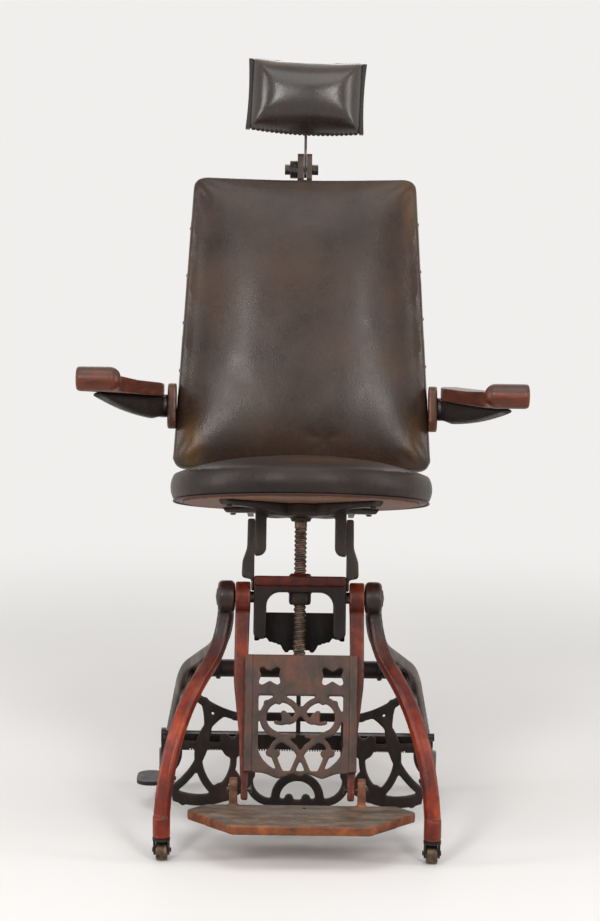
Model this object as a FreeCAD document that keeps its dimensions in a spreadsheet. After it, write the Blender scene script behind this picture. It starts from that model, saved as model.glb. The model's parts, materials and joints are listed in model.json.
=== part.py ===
import FreeCAD, Part
import math
import os
import Sketcher
from FreeCAD import Placement, Rotation, Vector

# Adjustable examination chair of cast iron, wood and leather.
# X is across the chair, Y runs to the back, Z is up, in millimetres, with the floor at Z = 0.
# The seat unit tilts on two trunnions at the head of the four-legged base, and rises on a screw.

sizes = [
    ("hub_height", 419, "tilt axis above the floor"),
    ("hub_y", -155.25, "tilt axis, from the middle of the chair's box"),
    ("seat_tilt", 13.2, "lean of the seat unit in degrees"),
    ("foot_lean", 20, "lean of the footrest bars in degrees"),
    ("back_lean", 5, "lean of the back against the seat unit in degrees"),
    ("head_forward", 9, "forward lean of the headrest against the back in degrees"),
    ("knuckle_radius", 29, "boss at the head of each front leg"),
    ("knuckle_inner", 113.5, "inner face of the boss"),
    ("knuckle_width", 30, "length of the boss"),
    ("knuckle_edge", 8, "rounding of the boss"),
    ("trunnion_radius", 10, "tilt pin"),
    ("fit", 0.05, "radial room of a turning fit"),
    ("leg_top_x", 129, "head of a leg from the middle"),
    ("leg_width", 26, "leg across its plane"),
    ("leg_depth", 20, "leg in its plane"),
    ("leg_corner", 5, "rounding along a leg"),
    ("front_foot_x", 229, "front foot from the middle"),
    ("front_reach", 190, "front foot ahead of the tilt axis"),
    ("front_hip", 120, "upper bend of a front leg"),
    ("front_knee", 285, "lower bend of a front leg"),
    ("front_slope", 58, "steepest lean of a front leg in degrees"),
    ("rear_foot_x", 245, "rear foot from the middle"),
    ("rear_reach", 229, "rear foot behind the tilt axis"),
    ("rear_setback", 12, "head of a rear leg behind the tilt axis"),
    ("rear_hip", 95, "upper bend of a rear leg"),
    ("rear_knee", 90, "lower bend of a rear leg"),
    ("rear_slope", 62, "steepest lean of a rear leg in degrees"),
    ("rear_shin", 22, "lean of a rear leg at its foot in degrees"),
    ("foot_height", 44, "underside of a leg's foot"),
    ("foot_radius", 15, "foot boss"),
    ("stem_radius", 5, "caster stem"),
    ("stem_length", 28, "caster stem above the fork"),
    ("wheel_radius", 17.5, "caster wheel"),
    ("wheel_width", 19, "caster wheel"),
    ("wheel_trail", 12, "wheel axle behind the stem"),
    ("wheel_pin_radius", 3, "caster axle"),
    ("panel_thickness", 9, "pierced castings"),
    ("strip_width", 11, "scrolls of the pierced castings"),
    ("cross_panel_y", 18, "cross panel behind the tilt axis"),
    ("stretcher_y", 43, "toothed stretcher behind the tilt axis"),
    ("stretcher_z", 146, "toothed stretcher above the floor"),
    ("stretcher_height", 30, "toothed stretcher"),
    ("stretcher_depth", 14, "toothed stretcher"),
    ("tube_y", 142, "cross tube behind the tilt axis"),
    ("tube_z", 256, "cross tube above the floor"),
    ("tube_radius", 16, "cross tube"),
    ("pedal_y", 72, "pedal shaft behind the tilt axis"),
    ("pedal_z", 150, "pedal shaft above the floor"),
    ("pedal_shaft_radius", 7, "pedal shaft"),
    ("yoke_half", 80.5, "yoke from the middle to its side"),
    ("yoke_depth", 46, "yoke from front to back"),
    ("screw_radius", 11, "elevating screw"),
    ("screw_below", 170, "screw below the tilt axis"),
    ("seat_rise", 163, "seat board above the tilt axis, along the screw"),
    ("board_thickness", 17, "seat board"),
    ("board_radius", 206, "seat board"),
    ("seat_radius", 230, "seat cushion"),
    ("seat_crown", 84, "seat cushion from the board's underside to its crown"),
    ("quadrant_radius", 120, "notched tilt quadrant"),
    ("lock_angle", 79.5, "locking tooth behind straight down in degrees"),
    ("notch_depth", 5, "notches of the tilt quadrant"),
    ("quadrant_thickness", 8, "notched tilt quadrant"),
    ("lock_x", 0, "tilt quadrant and locking lever from the middle"),
    ("notch_step", 4.4, "tilt between two notches in degrees"),
    ("back_y", 196, "front foot of the back, behind the screw"),
    ("back_z", 243, "front foot of the back above the tilt axis"),
    ("back_width_low", 483, "back cushion at its foot"),
    ("back_width_high", 423, "back cushion at its top"),
    ("back_length", 565, "back cushion"),
    ("back_depth", 58, "back cushion"),
    ("back_board_depth", 12, "board behind the back cushion"),
    ("hinge_y", 252, "recline axis behind the screw"),
    ("hinge_z", 200, "recline axis above the tilt axis"),
    ("hinge_radius", 6, "recline rod"),
    ("head_setback", 86, "head post behind the face of the back"),
    ("head_pivot", 599, "head pivot along the back"),
    ("headrest_width", 226, "headrest cushion"),
    ("headrest_height", 139, "headrest cushion"),
    ("headrest_rise", 69, "headrest cushion above the head pivot"),
    ("headrest_depth", 52, "headrest cushion"),
    ("headrest_roll", 2.2, "turn of the headrest in its own plane in degrees"),
    ("arm_pivot_y", 221, "arm pivot behind the screw"),
    ("arm_pivot_z", 358, "arm pivot above the tilt axis"),
    ("arm_plate_outer", 251, "outer face of the oval arm plates"),
    ("arm_droop_left", 2.4, "left arm against the seat unit in degrees"),
    ("arm_droop_right", 5.9, "right arm against the seat unit in degrees"),
    ("arm_roll_radius", 21.5, "rolled end of an arm"),
    ("arm_roll_length", 75, "rolled end of an arm"),
    ("arm_reach", 338, "rolled end ahead of the arm pivot"),
    ("arm_spread", 99, "rolled end outside the arm pivot"),
    ("arm_thickness", 25, "wooden arm board"),
    ("foot_bar_inner", 86.5, "inner face of a footrest bar at the tilt axis"),
    ("foot_bar_length", 352, "footrest bar from the tilt axis"),
    ("foot_panel_top", 102, "pierced footrest panel, top edge along the bars"),
    ("foot_panel_half", 97, "pierced footrest panel, half of its width"),
    ("foot_panel_shift", 4, "pierced footrest panel, set to the right"),
    ("foot_pivot", 333, "footplate hinge along the bars"),
    ("footplate_width", 396, "footplate from tip to tip"),
    ("footplate_shift", 7, "footplate tread, set to the right of its lugs"),
    ("footplate_front", 232, "footplate, front edge"),
    ("footplate_depth", 120, "footplate from back to front"),
    ("footplate_thickness", 16, "footplate"),
    ("footplate_top", 80, "footplate above the floor"),
    ("footplate_back", 118, "footplate, back edge ahead of the tilt axis"),
]

doc = FreeCAD.newDocument("examination_chair")
sheet = doc.addObject("Spreadsheet::Sheet", "Sizes")
for row, (alias, value, note) in enumerate(sizes, start=1):
    sheet.set(f"A{row}", note)
    sheet.set(f"B{row}", str(value))
    sheet.setAlias(f"B{row}", alias)
doc.recompute()

pieces = {}
sides = (("left", -1), ("right", 1))
along_x = Vector(1, 0, 0)
along_y = Vector(0, 1, 0)
along_z = Vector(0, 0, 1)


def size(alias):
    return float(sheet.get(alias))


def at(x, y, z, axis=along_x, angle=0):
    return Placement(Vector(x, y, z), Rotation(axis, angle))


base_frame = at(0, size("hub_y"), 0)
tilt_frame = at(0, size("hub_y"), size("hub_height"), along_x, -size("seat_tilt"))
foot_frame = at(0, size("hub_y"), size("hub_height"), along_x, -size("foot_lean"))
back_frame = tilt_frame * at(0, size("back_y"), size("back_z"), along_x, -size("back_lean"))
head_frame = back_frame * at(0, size("head_setback"), size("head_pivot"), along_x, size("head_forward"))


def bind(feature, **expressions):
    for name, expression in expressions.items():
        feature.setExpression(name, expression)
    return feature


def keep(name, feature):
    feature.Label = name
    pieces[name] = feature
    return feature


def turn_to(axis):
    return Rotation(along_z, axis)


def cylinder(name, radius, length, frame, start, axis):
    feature = doc.addObject("Part::Cylinder", name)
    bind(feature, Radius=radius, Height=length)
    feature.Placement = frame * Placement(Vector(*start), turn_to(axis))
    return feature


def box(name, length, width, height, frame, corner):
    feature = doc.addObject("Part::Box", name)
    bind(feature, Length=length, Width=width, Height=height)
    feature.Placement = frame * at(*corner)
    return feature


def fuse(name, features):
    feature = doc.addObject("Part::MultiFuse", name)
    feature.Shapes = features
    feature.Refine = True
    return feature


def cut(name, base, tool):
    feature = doc.addObject("Part::Cut", name)
    feature.Base = base
    feature.Tool = tool
    return feature


def rounded(corners):
    # Lines and tangent arcs of a closed outline whose corners are (x, y, radius).
    edges = []
    count = len(corners)
    touch = []
    for index, (x, y, radius) in enumerate(corners):
        here = Vector(x, y, 0)
        before = Vector(corners[index - 1][0], corners[index - 1][1], 0) - here
        after_corner = corners[(index + 1) % count]
        after = Vector(after_corner[0], after_corner[1], 0) - here
        before.normalize()
        after.normalize()
        half_turn = (math.pi - before.getAngle(after)) / 2
        reach = radius * math.tan(half_turn)
        bisector = before + after
        if radius == 0 or bisector.Length < 1e-9:
            touch.append((here, here, here))
            continue
        bisector.normalize()
        middle = here + bisector * (radius / math.cos(half_turn) - radius)
        touch.append((here + before * reach, middle, here + after * reach))
    for index, (start, middle, end) in enumerate(touch):
        if (end - start).Length > 1e-6:
            edges.append(Part.ArcOfCircle(start, middle, end))
        following = touch[(index + 1) % count][0]
        if (following - end).Length > 1e-6:
            edges.append(Part.LineSegment(end, following))
    return edges


def wire_of(edges):
    return Part.Wire([edge.toShape() for edge in edges])


def sketch_on(body, name, plane, edges, lift=0):
    sketch = body.newObject("Sketcher::SketchObject", name)
    support = [plane_feature for plane_feature in body.Origin.OriginFeatures if plane_feature.Role == plane]
    sketch.AttachmentSupport = [(support[0], "")]
    sketch.MapMode = "FlatFace"
    sketch.AttachmentOffset = at(0, 0, lift)
    sketch.addGeometry(edges, False)
    return sketch


def padded(name, plane, outlines, thickness, frame):
    # A plate of even thickness, half on each side of its plane.
    body = doc.addObject("PartDesign::Body", name)
    edges = [edge for outline in outlines for edge in outline]
    sketch = sketch_on(body, name + "_outline", plane, edges)
    pad = body.newObject("PartDesign::Pad", name + "_pad")
    pad.Profile = sketch
    pad.Midplane = True
    bind(pad, Length=thickness)
    body.Placement = frame
    return body


def turned(name, edges, frame):
    # A body turned about its own Z axis from an outline of (radius, height).
    body = doc.addObject("PartDesign::Body", name)
    sketch = sketch_on(body, name + "_outline", "XZ_Plane", edges)
    revolution = body.newObject("PartDesign::Revolution", name + "_turn")
    revolution.Profile = sketch
    revolution.ReferenceAxis = (sketch, ["V_Axis"])
    revolution.Angle = 360
    body.Placement = frame
    return body


def axis_frame(frame, start, axis):
    return frame * Placement(Vector(*start), turn_to(axis))


def ring_outline(inner, outer, low, high, edge=0.0):
    return rounded([(inner, low, 0), (outer, low, edge), (outer, high, edge), (inner, high, 0)])


def hexagon(across):
    corner = across / math.sqrt(3)
    angles = [math.radians(60 * step) for step in range(6)]
    return rounded([(corner * math.cos(a), corner * math.sin(a), 0) for a in angles])


def circle(x, y, radius):
    return [Part.Circle(Vector(x, y, 0), along_z, radius)]


def round_cap(point, across, outward, width):
    half = width / 2
    return Part.ArcOfCircle(point - across * half, point + outward * half, point + across * half)


def band_face(rails, caps):
    edges = [rails[0], caps[1], rails[1], caps[0]]
    return Part.Face(Part.Wire(Part.sortEdges([edge.toShape() for edge in edges])[0]))


def arc_band(start, through, end, width):
    # A band along an arc, with round ends.
    arc = Part.ArcOfCircle(Vector(*start, 0), Vector(*through, 0), Vector(*end, 0))
    first = arc.FirstParameter
    last = arc.LastParameter
    spokes = [(arc.value(u) - arc.Center).normalize() for u in (first, (first + last) / 2, last)]
    caps = [round_cap(arc.value(first), spokes[0], arc.tangent(first)[0] * -1, width),
            round_cap(arc.value(last), spokes[2], arc.tangent(last)[0], width)]
    rails = [Part.ArcOfCircle(*[arc.Center + spoke * (arc.Radius + shift) for spoke in spokes])
             for shift in (width / 2, -width / 2)]
    return band_face(rails, caps)


def line_band(start, end, width):
    # A straight band with round ends.
    first = Vector(*start, 0)
    last = Vector(*end, 0)
    along = (last - first).normalize()
    across = Vector(along.y, -along.x, 0)
    caps = [round_cap(first, across, along * -1, width), round_cap(last, across, along, width)]
    rails = [Part.LineSegment(first + across * shift, last + across * shift)
             for shift in (width / 2, -width / 2)]
    return band_face(rails, caps)


def disc_face(x, y, radius):
    return Part.Face(Part.Wire([Part.Circle(Vector(x, y, 0), along_z, radius).toShape()]))


def mirrored_faces(faces):
    return faces + [face.mirror(Vector(0, 0, 0), along_x) for face in faces]


def lattice(faces, thickness):
    # Bands joined into one casting, half on each side of the drawing plane.
    low = Vector(0, 0, -thickness / 2)
    solids = [face.translated(low).extrude(Vector(0, 0, thickness)) for face in faces]
    return solids[0].multiFuse(solids[1:]).removeSplitter()


def shape_piece(name, shape, frame):
    feature = doc.addObject("Part::Feature", name)
    feature.Shape = shape
    feature.Placement = frame
    return feature


# Drawing planes: x of the drawing along X or Y of the chair, y of the drawing up.
front_drawing = Placement(Vector(0, 0, 0), Rotation(along_x, 90))
side_drawing = Placement(Vector(0, 0, 0), Rotation(Vector(1, 1, 1), 120))


def leg_path(top_z, hip, knee, slope, shin, foot_u):
    # Hip bend, straight thigh, knee bend and shin, from the hub down to the foot.
    steep = math.radians(slope)
    last = math.radians(shin)
    foot_z = size("foot_height") + 4
    hip_u = hip * (1 - math.cos(steep))
    hip_z = top_z - hip * math.sin(steep)
    knee_du = knee * (math.cos(last) - math.cos(steep))
    knee_dz = knee * (math.sin(steep) - math.sin(last))
    rest_u = foot_u - hip_u - knee_du
    rest_z = hip_z - knee_dz - foot_z
    determinant = math.sin(steep) * math.cos(last) - math.cos(steep) * math.sin(last)
    thigh = (rest_u * math.cos(last) - rest_z * math.sin(last)) / determinant
    knee_u = hip_u + thigh * math.sin(steep)
    knee_z = hip_z - thigh * math.cos(steep)
    half_hip = steep / 2
    half_knee = (steep + last) / 2
    hip_middle = Vector(hip * (1 - math.cos(half_hip)), top_z - hip * math.sin(half_hip), 0)
    knee_middle = Vector(knee_u + knee * (math.cos(half_knee) - math.cos(steep)),
                         knee_z - knee * (math.sin(steep) - math.sin(half_knee)), 0)
    hip_end = Vector(hip_u, hip_z, 0)
    knee_start = Vector(knee_u, knee_z, 0)
    knee_end = Vector(knee_u + knee_du, knee_z - knee_dz, 0)
    foot = Vector(foot_u, foot_z, 0)
    return [
        Part.ArcOfCircle(Vector(0, top_z, 0), hip_middle, hip_end),
        Part.LineSegment(hip_end, knee_start),
        Part.ArcOfCircle(knee_start, knee_middle, knee_end),
        Part.LineSegment(knee_end, foot),
    ]


def leg_bar(name, side, end, corner):
    # A cast leg swept along its bends in an upright plane that runs out to the foot.
    sign = -1 if end == "front" else 1
    setback = 0 if end == "front" else size("rear_setback")
    shin = 0 if end == "front" else size("rear_shin")
    top_z = size("hub_height") - (8 if end == "front" else 24)
    run_x = size(end + "_foot_x") - size("leg_top_x")
    run_y = size(end + "_reach") - setback
    foot_u = math.hypot(run_x, run_y)
    body = doc.addObject("PartDesign::Body", name)
    edges = leg_path(top_z, size(end + "_hip"), size(end + "_knee"), size(end + "_slope"), shin, foot_u)
    path = sketch_on(body, name + "_path", "XZ_Plane", edges)
    for geometry, bend in ((0, "_hip"), (2, "_knee")):
        index = path.addConstraint(Sketcher.Constraint("Radius", geometry, size(end + bend)))
        path.setExpression(f"Constraints[{index}]", f"Sizes.{end}{bend}")
    half_depth = size("leg_depth") / 2
    half_width = size("leg_width") / 2
    section = rounded([(-half_depth, -half_width, corner), (half_depth, -half_width, corner),
                       (half_depth, half_width, corner), (-half_depth, half_width, corner)])
    profile = sketch_on(body, name + "_section", "XY_Plane", section, top_z)
    pipe = body.newObject("PartDesign::AdditivePipe", name + "_sweep")
    pipe.Profile = profile
    pipe.Spine = (path, ["Edge1", "Edge2", "Edge3", "Edge4"])
    heading = math.degrees(math.atan2(sign * run_y, side * run_x))
    body.Placement = base_frame * at(side * size("leg_top_x"), setback, 0, along_z, heading)
    return body


def foot_position(side, end):
    sign = -1 if end == "front" else 1
    return side * size(end + "_foot_x"), sign * size(end + "_reach")


def foot_boss(name, side, end):
    x, y = foot_position(side, end)
    return cylinder(name + "_boss", "Sizes.foot_radius", "Sizes.stem_length + 8", base_frame,
                    (x, y, size("foot_height")), along_z)


def stem_bore(name, side, end):
    x, y = foot_position(side, end)
    return cylinder(name + "_bore", "Sizes.stem_radius + Sizes.fit", "Sizes.stem_length + 1", base_frame,
                    (x, y, size("foot_height")), along_z)


def front_leg(word, side):
    name = "front_leg_" + word
    bar = leg_bar(name + "_bar", side, "front", size("leg_corner"))
    inner = side * size("knuckle_inner")
    hub_start = (inner, 0, size("hub_height"))
    barrel = ring_outline(0, size("knuckle_radius"), 0, size("knuckle_width"), size("knuckle_edge"))
    knuckle = turned(name + "_knuckle", barrel, axis_frame(base_frame, hub_start, along_x * side))
    solid = fuse(name + "_solid", [bar, knuckle, foot_boss(name, side, "front")])
    trunnion_bore = cylinder(name + "_trunnion_bore", "Sizes.trunnion_radius + Sizes.fit",
                             "Sizes.knuckle_width", base_frame, hub_start, along_x * side)
    tools = fuse(name + "_bores", [trunnion_bore, stem_bore(name, side, "front")])
    return keep(name, cut(name, solid, tools))


def rear_leg(word, side, leg_ahead):
    name = "rear_leg_" + word
    bar = leg_bar(name + "_bar", side, "rear", size("leg_corner"))
    solid = fuse(name + "_solid", [bar, foot_boss(name, side, "rear")])
    tools = fuse(name + "_tools", [stem_bore(name, side, "rear"), trunnion_envelope(name, side)])
    trimmed = cut(name + "_trimmed", solid, tools)
    return keep(name, cut(name, trimmed, leg_ahead))


def trunnion_envelope(name, side):
    inner = side * (size("knuckle_inner") - 40)
    return cylinder(name + "_knuckle_space", "Sizes.knuckle_radius", "Sizes.knuckle_width + 80", base_frame,
                    (inner, 0, size("hub_height")), along_x * side)


def trunnion(word, side):
    # A shouldered pin with a domed head outside the knuckle.
    radius = size("trunnion_radius")
    shank = size("knuckle_inner") + size("knuckle_width")
    inner = size("yoke_half") - 22
    outline = rounded([(0, inner, 0), (radius, inner, 1), (radius, shank, 0), (15, shank, 0),
                       (15, shank + 1.5, 1), (0, shank + 4, 0)])
    frame = axis_frame(base_frame, (0, 0, size("hub_height")), along_x * side)
    return turned("trunnion_" + word, outline, frame)


def trunnions():
    group = doc.addObject("Part::Compound", "trunnions")
    group.Links = [trunnion(word, side) for word, side in sides]
    return keep("trunnions", group)


def caster(word, side, end):
    x, y = foot_position(side, end)
    frame = base_frame * at(x, y, 0)
    place = f"{end}_{word}"
    trail = size("wheel_trail")
    axle_z = size("wheel_radius")
    top = size("foot_height") - 0.3
    crown = cylinder(f"caster_crown_{place}", "Sizes.foot_radius", "5", frame, (0, 0, top - 5), along_z)
    stem = cylinder(f"caster_stem_{place}", "Sizes.stem_radius", "Sizes.stem_length + 0.3", frame,
                    (0, 0, top), along_z)
    cheek = rounded([(-10, top - 3, 0), (13, top - 3, 0), (trail + 8.5, axle_z - 8, 8),
                     (trail - 8.5, axle_z - 8, 8)])
    cheek_x = size("wheel_width") / 2 + 2.5
    cheeks = [padded(f"caster_cheek_{place}_{number}", "YZ_Plane", [cheek, circle(trail, axle_z, 3.05)], "3",
                     frame * at(offset, 0, 0)) for number, offset in enumerate((-cheek_x, cheek_x))]
    keep("caster_fork_" + place, fuse("caster_fork_" + place, [crown, stem] + cheeks))
    half = size("wheel_width") / 2
    tread = ring_outline(size("wheel_pin_radius") + size("fit"), axle_z, -half, half, 2.5)
    keep("caster_wheel_" + place, turned("caster_wheel_" + place, tread,
                                         axis_frame(frame, (0, trail, axle_z), along_x)))
    pin_half = cheek_x + 4
    pin = rounded([(0, -pin_half, 0), (4.5, -pin_half, 1), (4.5, 1.5 - pin_half, 0), (3, 1.5 - pin_half, 0),
                   (3, pin_half - 1.5, 0), (4.5, pin_half - 1.5, 0), (4.5, pin_half, 1), (0, pin_half, 0)])
    keep("caster_pin_" + place, turned("caster_pin_" + place, pin,
                                       axis_frame(frame, (0, trail, axle_z), along_x)))


def side_curve():
    # The side panels follow the legs: one arc through three heights of the legs' middle line.
    return Part.ArcOfCircle(Vector(158, 300, 0), Vector(213, 200, 0), Vector(231, 100, 0))


def curve_band(inner_shift, outer_shift):
    # A band along the curve in short flats, as a pattern maker would build it.
    arc = side_curve()
    flats = 8
    span = math.radians(14)
    start = arc.FirstParameter - span
    step = (arc.LastParameter + span - start) / flats
    rays = [(arc.Circle.value(start + step * index) - arc.Center).normalize() for index in range(flats + 1)]
    inner = [arc.Center + ray * (arc.Radius + inner_shift) for ray in rays]
    outer = [arc.Center + ray * (arc.Radius + outer_shift) for ray in reversed(rays)]
    return rounded([(point.x, point.y, 0) for point in inner + outer])


def side_scrolls():
    # Drawn in the side view: x to the back from the tilt axis, y up from the floor.
    band = size("strip_width")
    boss_y = size("pedal_y")
    boss_z = size("pedal_z")
    bolt_y = size("stretcher_y")
    faces = [
        arc_band((-66, 286), (10, 262), (88, 283.5), band + 3),
        arc_band((-176, 114), (5, 150), (205, 112), band + 5),
        arc_band((-139, 215), (-70, 208), (-20, 262), band),
        arc_band((-157, 190), (-95, 165), (-65, 136), band),
        arc_band((167, 215), (95, 208), (40, 262), band),
        arc_band((182, 180), (120, 170), (85, 136), band),
        arc_band((-84, 207), (-20, 180), (-20, 146), band),
        arc_band((-112, 172), (-50, 200), (10, 262), band),
        arc_band((110, 208), (62, 195), (56, 156), band),
        arc_band((135, 172), (75, 200), (10, 262), band),
        arc_band((-126, 238), (-100, 242), (-92, 220), band - 2),
        arc_band((152, 236), (118, 242), (108, 220), band - 2),
        disc_face(-92, 219, 9),
        disc_face(108, 219, 9),
        line_band((bolt_y, size("stretcher_z")), (boss_y, boss_z), 30),
    ]
    return faces


def side_panel():
    # The right side's openwork, curved with the legs and trimmed to their flat faces.
    name = "side_panel_right"
    legs = [leg_bar(f"{name}_{end}_leg", 1, end, 0) for end in ("front", "rear")]
    slab_outline = curve_band(-size("panel_thickness") / 2, size("panel_thickness") / 2)
    slab = padded(name + "_slab", "XZ_Plane", [slab_outline], "2 * (Sizes.front_reach + Sizes.rear_reach)",
                  base_frame)
    scroll_frame = base_frame * at(200, 0, 0) * side_drawing
    pierced = doc.addObject("Part::Common", name + "_pierced")
    pierced.Base = slab
    pierced.Tool = shape_piece(name + "_scrolls", lattice(side_scrolls(), 200), scroll_frame)
    holes = [
        cylinder(name + "_shaft_hole", "Sizes.pedal_shaft_radius + Sizes.fit", "120", base_frame,
                 (160, size("pedal_y"), size("pedal_z")), along_x),
        cylinder(name + "_bolt_hole", "5.05", "120", base_frame,
                 (160, size("stretcher_y"), size("stretcher_z")), along_x),
    ]
    return keep(name, cut(name, pierced, fuse(name + "_tools", legs + holes)))


def opposite_panel(panel):
    mirror = doc.addObject("Part::Mirroring", "side_panel_left")
    mirror.Source = panel
    mirror.Normal = along_x
    return keep("side_panel_left", mirror)


def cross_scrolls():
    # Drawn in the front view: x across from the middle, y up from the floor.
    band = size("strip_width") + 2
    half = [
        arc_band((-208, 262), (-150, 214), (-98, 197), band + 1),
        arc_band((-132, 206), (-176, 142), (-146, 58), band + 1),
        arc_band((-222, 64), (-176, 118), (-166, 226), band + 1),
        arc_band((-238, 92), (-212, 128), (-232, 170), band),
        arc_band((-236, 150), (-190, 146), (-118, 145), band),
        disc_face(-116, 142, 19),
        disc_face(-130, 158, 9),
        arc_band((-116, 136), (-120, 92), (-152, 56), band - 1),
        arc_band((-226, 56), (-160, 46), (-98, 74), band + 8),
        disc_face(-136, 62, 15),
        line_band((-222, 58), (-204, 40), band - 2),
        arc_band((-42, 43), (-74, 54), (-83, 98), band + 1),
        line_band((-84, 92), (-84, 196), band + 4),
        line_band((-100, 75), (-85, 94), band - 1),
        arc_band((-147, 52), (-108, 62), (-116, 98), band - 3),
        arc_band((-114, 146), (-98, 170), (-83, 184), band - 1),
        disc_face(-15, 50, 8),
    ]
    middle = [
        line_band((-112, 199), (112, 199), band + 2.5),
        arc_band((-39, 46), (0, 90), (39, 46), band + 3),
        arc_band((-44, 42), (0, 38), (44, 42), band + 6),
    ]
    return mirrored_faces(half) + middle


def cross_panel():
    # The openwork panel between the side panels, trimmed to their curve.
    name = "cross_panel"
    frame = base_frame * at(0, size("cross_panel_y"), 0)
    scrolls = lattice(cross_scrolls(), size("panel_thickness"))
    scroll_feature = shape_piece(name + "_scrolls", scrolls, frame * front_drawing)
    margin = -size("panel_thickness") / 2
    trims = [padded(f"{name}_trim_{word}", "XZ_Plane", [curve_band(margin, 90)], "60",
                    frame if side > 0 else frame * at(0, 0, 0, along_z, 180)) for word, side in sides]
    return keep(name, cut(name, scroll_feature, fuse(name + "_trims", trims)))


def side_at(height):
    arc = side_curve()
    rise = height - arc.Center.y
    return arc.Center.x + math.sqrt(arc.Radius ** 2 - rise ** 2)


def toothed_stretcher():
    # A flat bar whose lower edge is cut into small square teeth.
    name = "toothed_stretcher"
    half_height = size("stretcher_height") / 2
    half = side_at(size("stretcher_z") + half_height) - size("panel_thickness") / 2 - 0.6
    step = 4.5
    count = int(2 * (half - 25) / step)
    corners = [(-half, half_height, 0), (-half, -half_height, 0)]
    for index in range(count):
        x = -count * step / 2 + index * step
        corners += [(x, -half_height, 0), (x, 3 - half_height, 0),
                    (x + step / 2, 3 - half_height, 0), (x + step / 2, -half_height, 0)]
    corners += [(half, -half_height, 0), (half, half_height, 0)]
    frame = base_frame * at(0, size("stretcher_y"), size("stretcher_z"))
    bar = padded(name + "_bar", "XZ_Plane", [rounded(corners)], "Sizes.stretcher_depth", frame)
    sockets = [cylinder(f"{name}_socket_{word}", "5.05", "40", frame, (side * (half - 40), 0, 0),
                        along_x * side) for word, side in sides]
    return keep(name, cut(name, bar, fuse(name + "_sockets", sockets)))


def stretcher_bolts():
    # Two hexagon-headed bolts through the side panels into the stretcher.
    frame = base_frame * at(0, size("stretcher_y"), size("stretcher_z"))
    seat = side_at(size("stretcher_z")) + size("panel_thickness") / 2 + 1.5
    bolts = []
    for word, side in sides:
        axis = along_x * side
        shank = cylinder(f"stretcher_shank_{word}", "5", "44", frame, (side * (seat - 44), 0, 0), axis)
        head = padded(f"stretcher_head_{word}", "XY_Plane", [hexagon(17)], "8",
                      axis_frame(frame, (side * (seat + 4), 0, 0), axis))
        bolts.append(fuse(f"stretcher_bolt_{word}", [shank, head]))
    group = doc.addObject("Part::Compound", "stretcher_bolts")
    group.Links = bolts
    return keep("stretcher_bolts", group)


def cross_tube(rear_legs, side_panels):
    # A tube between the rear legs, flanged where it meets them.
    name = "cross_tube"
    half = side_at(size("tube_z"))
    frame = axis_frame(base_frame, (-half, size("tube_y"), size("tube_z")), along_x)
    radius = size("tube_radius")
    outline = rounded([(radius - 4, 0, 0), (radius, 0, 0), (radius, 36, 0), (radius + 4, 38, 0),
                       (radius + 4, 44, 0), (radius, 46, 0), (radius, 2 * half - 46, 0),
                       (radius + 4, 2 * half - 44, 0), (radius + 4, 2 * half - 38, 0),
                       (radius, 2 * half - 36, 0), (radius, 2 * half, 0), (radius - 4, 2 * half, 0)])
    tube = turned(name + "_tube", outline, frame)
    return keep(name, cut(name, tube, fuse(name + "_tools", rear_legs + side_panels)))


def yoke():
    # An arched casting: crossbar, two cheeks on the trunnions and the nut of the screw.
    half = size("yoke_half")
    arch = half - 22
    outline = rounded([(-half, 37, 3), (half, 37, 3), (half, -72, 10), (arch, -72, 10), (arch, 9, 24),
                       (-arch, 9, 24), (-arch, -72, 10), (-half, -72, 10)])
    casting = padded("yoke_casting", "XZ_Plane", [outline], "Sizes.yoke_depth", tilt_frame)
    nut = turned("yoke_nut", rounded([(0, -13, 0), (17, -13, 2), (19.5, -9, 2), (19.5, 36, 0), (18.5, 36, 0),
                                      (18.5, 42, 1.5), (0, 42, 0)]), tilt_frame)
    lip = box("yoke_lip", "2 * Sizes.yoke_half - 6", "8", "16", tilt_frame,
              (3 - half, -size("yoke_depth") / 2 - 6, 20))
    solid = fuse("yoke_solid", [casting, lip, nut])
    bore = cylinder("yoke_bore", "Sizes.screw_radius + Sizes.fit", "80", tilt_frame, (0, 0, -30), along_z)
    pins = cylinder("yoke_pin_holes", "Sizes.trunnion_radius + Sizes.fit", "2 * Sizes.yoke_half + 2",
                    tilt_frame, (-half - 1, 0, 0), along_x)
    nut_keep = cylinder("yoke_pin_space", "Sizes.trunnion_radius + Sizes.fit", "2 * Sizes.yoke_half - 46",
                        tilt_frame, (-half + 23, 0, 0), along_x)
    pin_tools = cut("yoke_pin_tools", pins, nut_keep)
    return keep("yoke", cut("yoke", solid, fuse("yoke_tools", [bore, pin_tools])))


def yoke_valance():
    # A scalloped plate across the back of the cheeks, deeper beside the screw.
    half = size("yoke_half") - 1
    right = [(half, -26, 2), (half, -76, 1), (72, -76, 1), (70, -73, 0.5), (64, -73, 0.5), (58, -70, 2),
             (53, -78, 2), (47, -78, 0.5), (45, -80, 0.5), (40, -80, 0.5), (38, -82.5, 0.5), (33, -82.5, 1),
             (29.5, -90, 1), (25, -96, 1), (19.5, -96, 1), (18, -92, 1)]
    left = [(-x, z, r) for x, z, r in reversed(right)]
    frame = tilt_frame * at(0, size("yoke_depth") / 2 + 4, 0)
    return keep("yoke_valance", padded("yoke_valance", "XZ_Plane", [rounded(right + left)], "8", frame))


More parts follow.
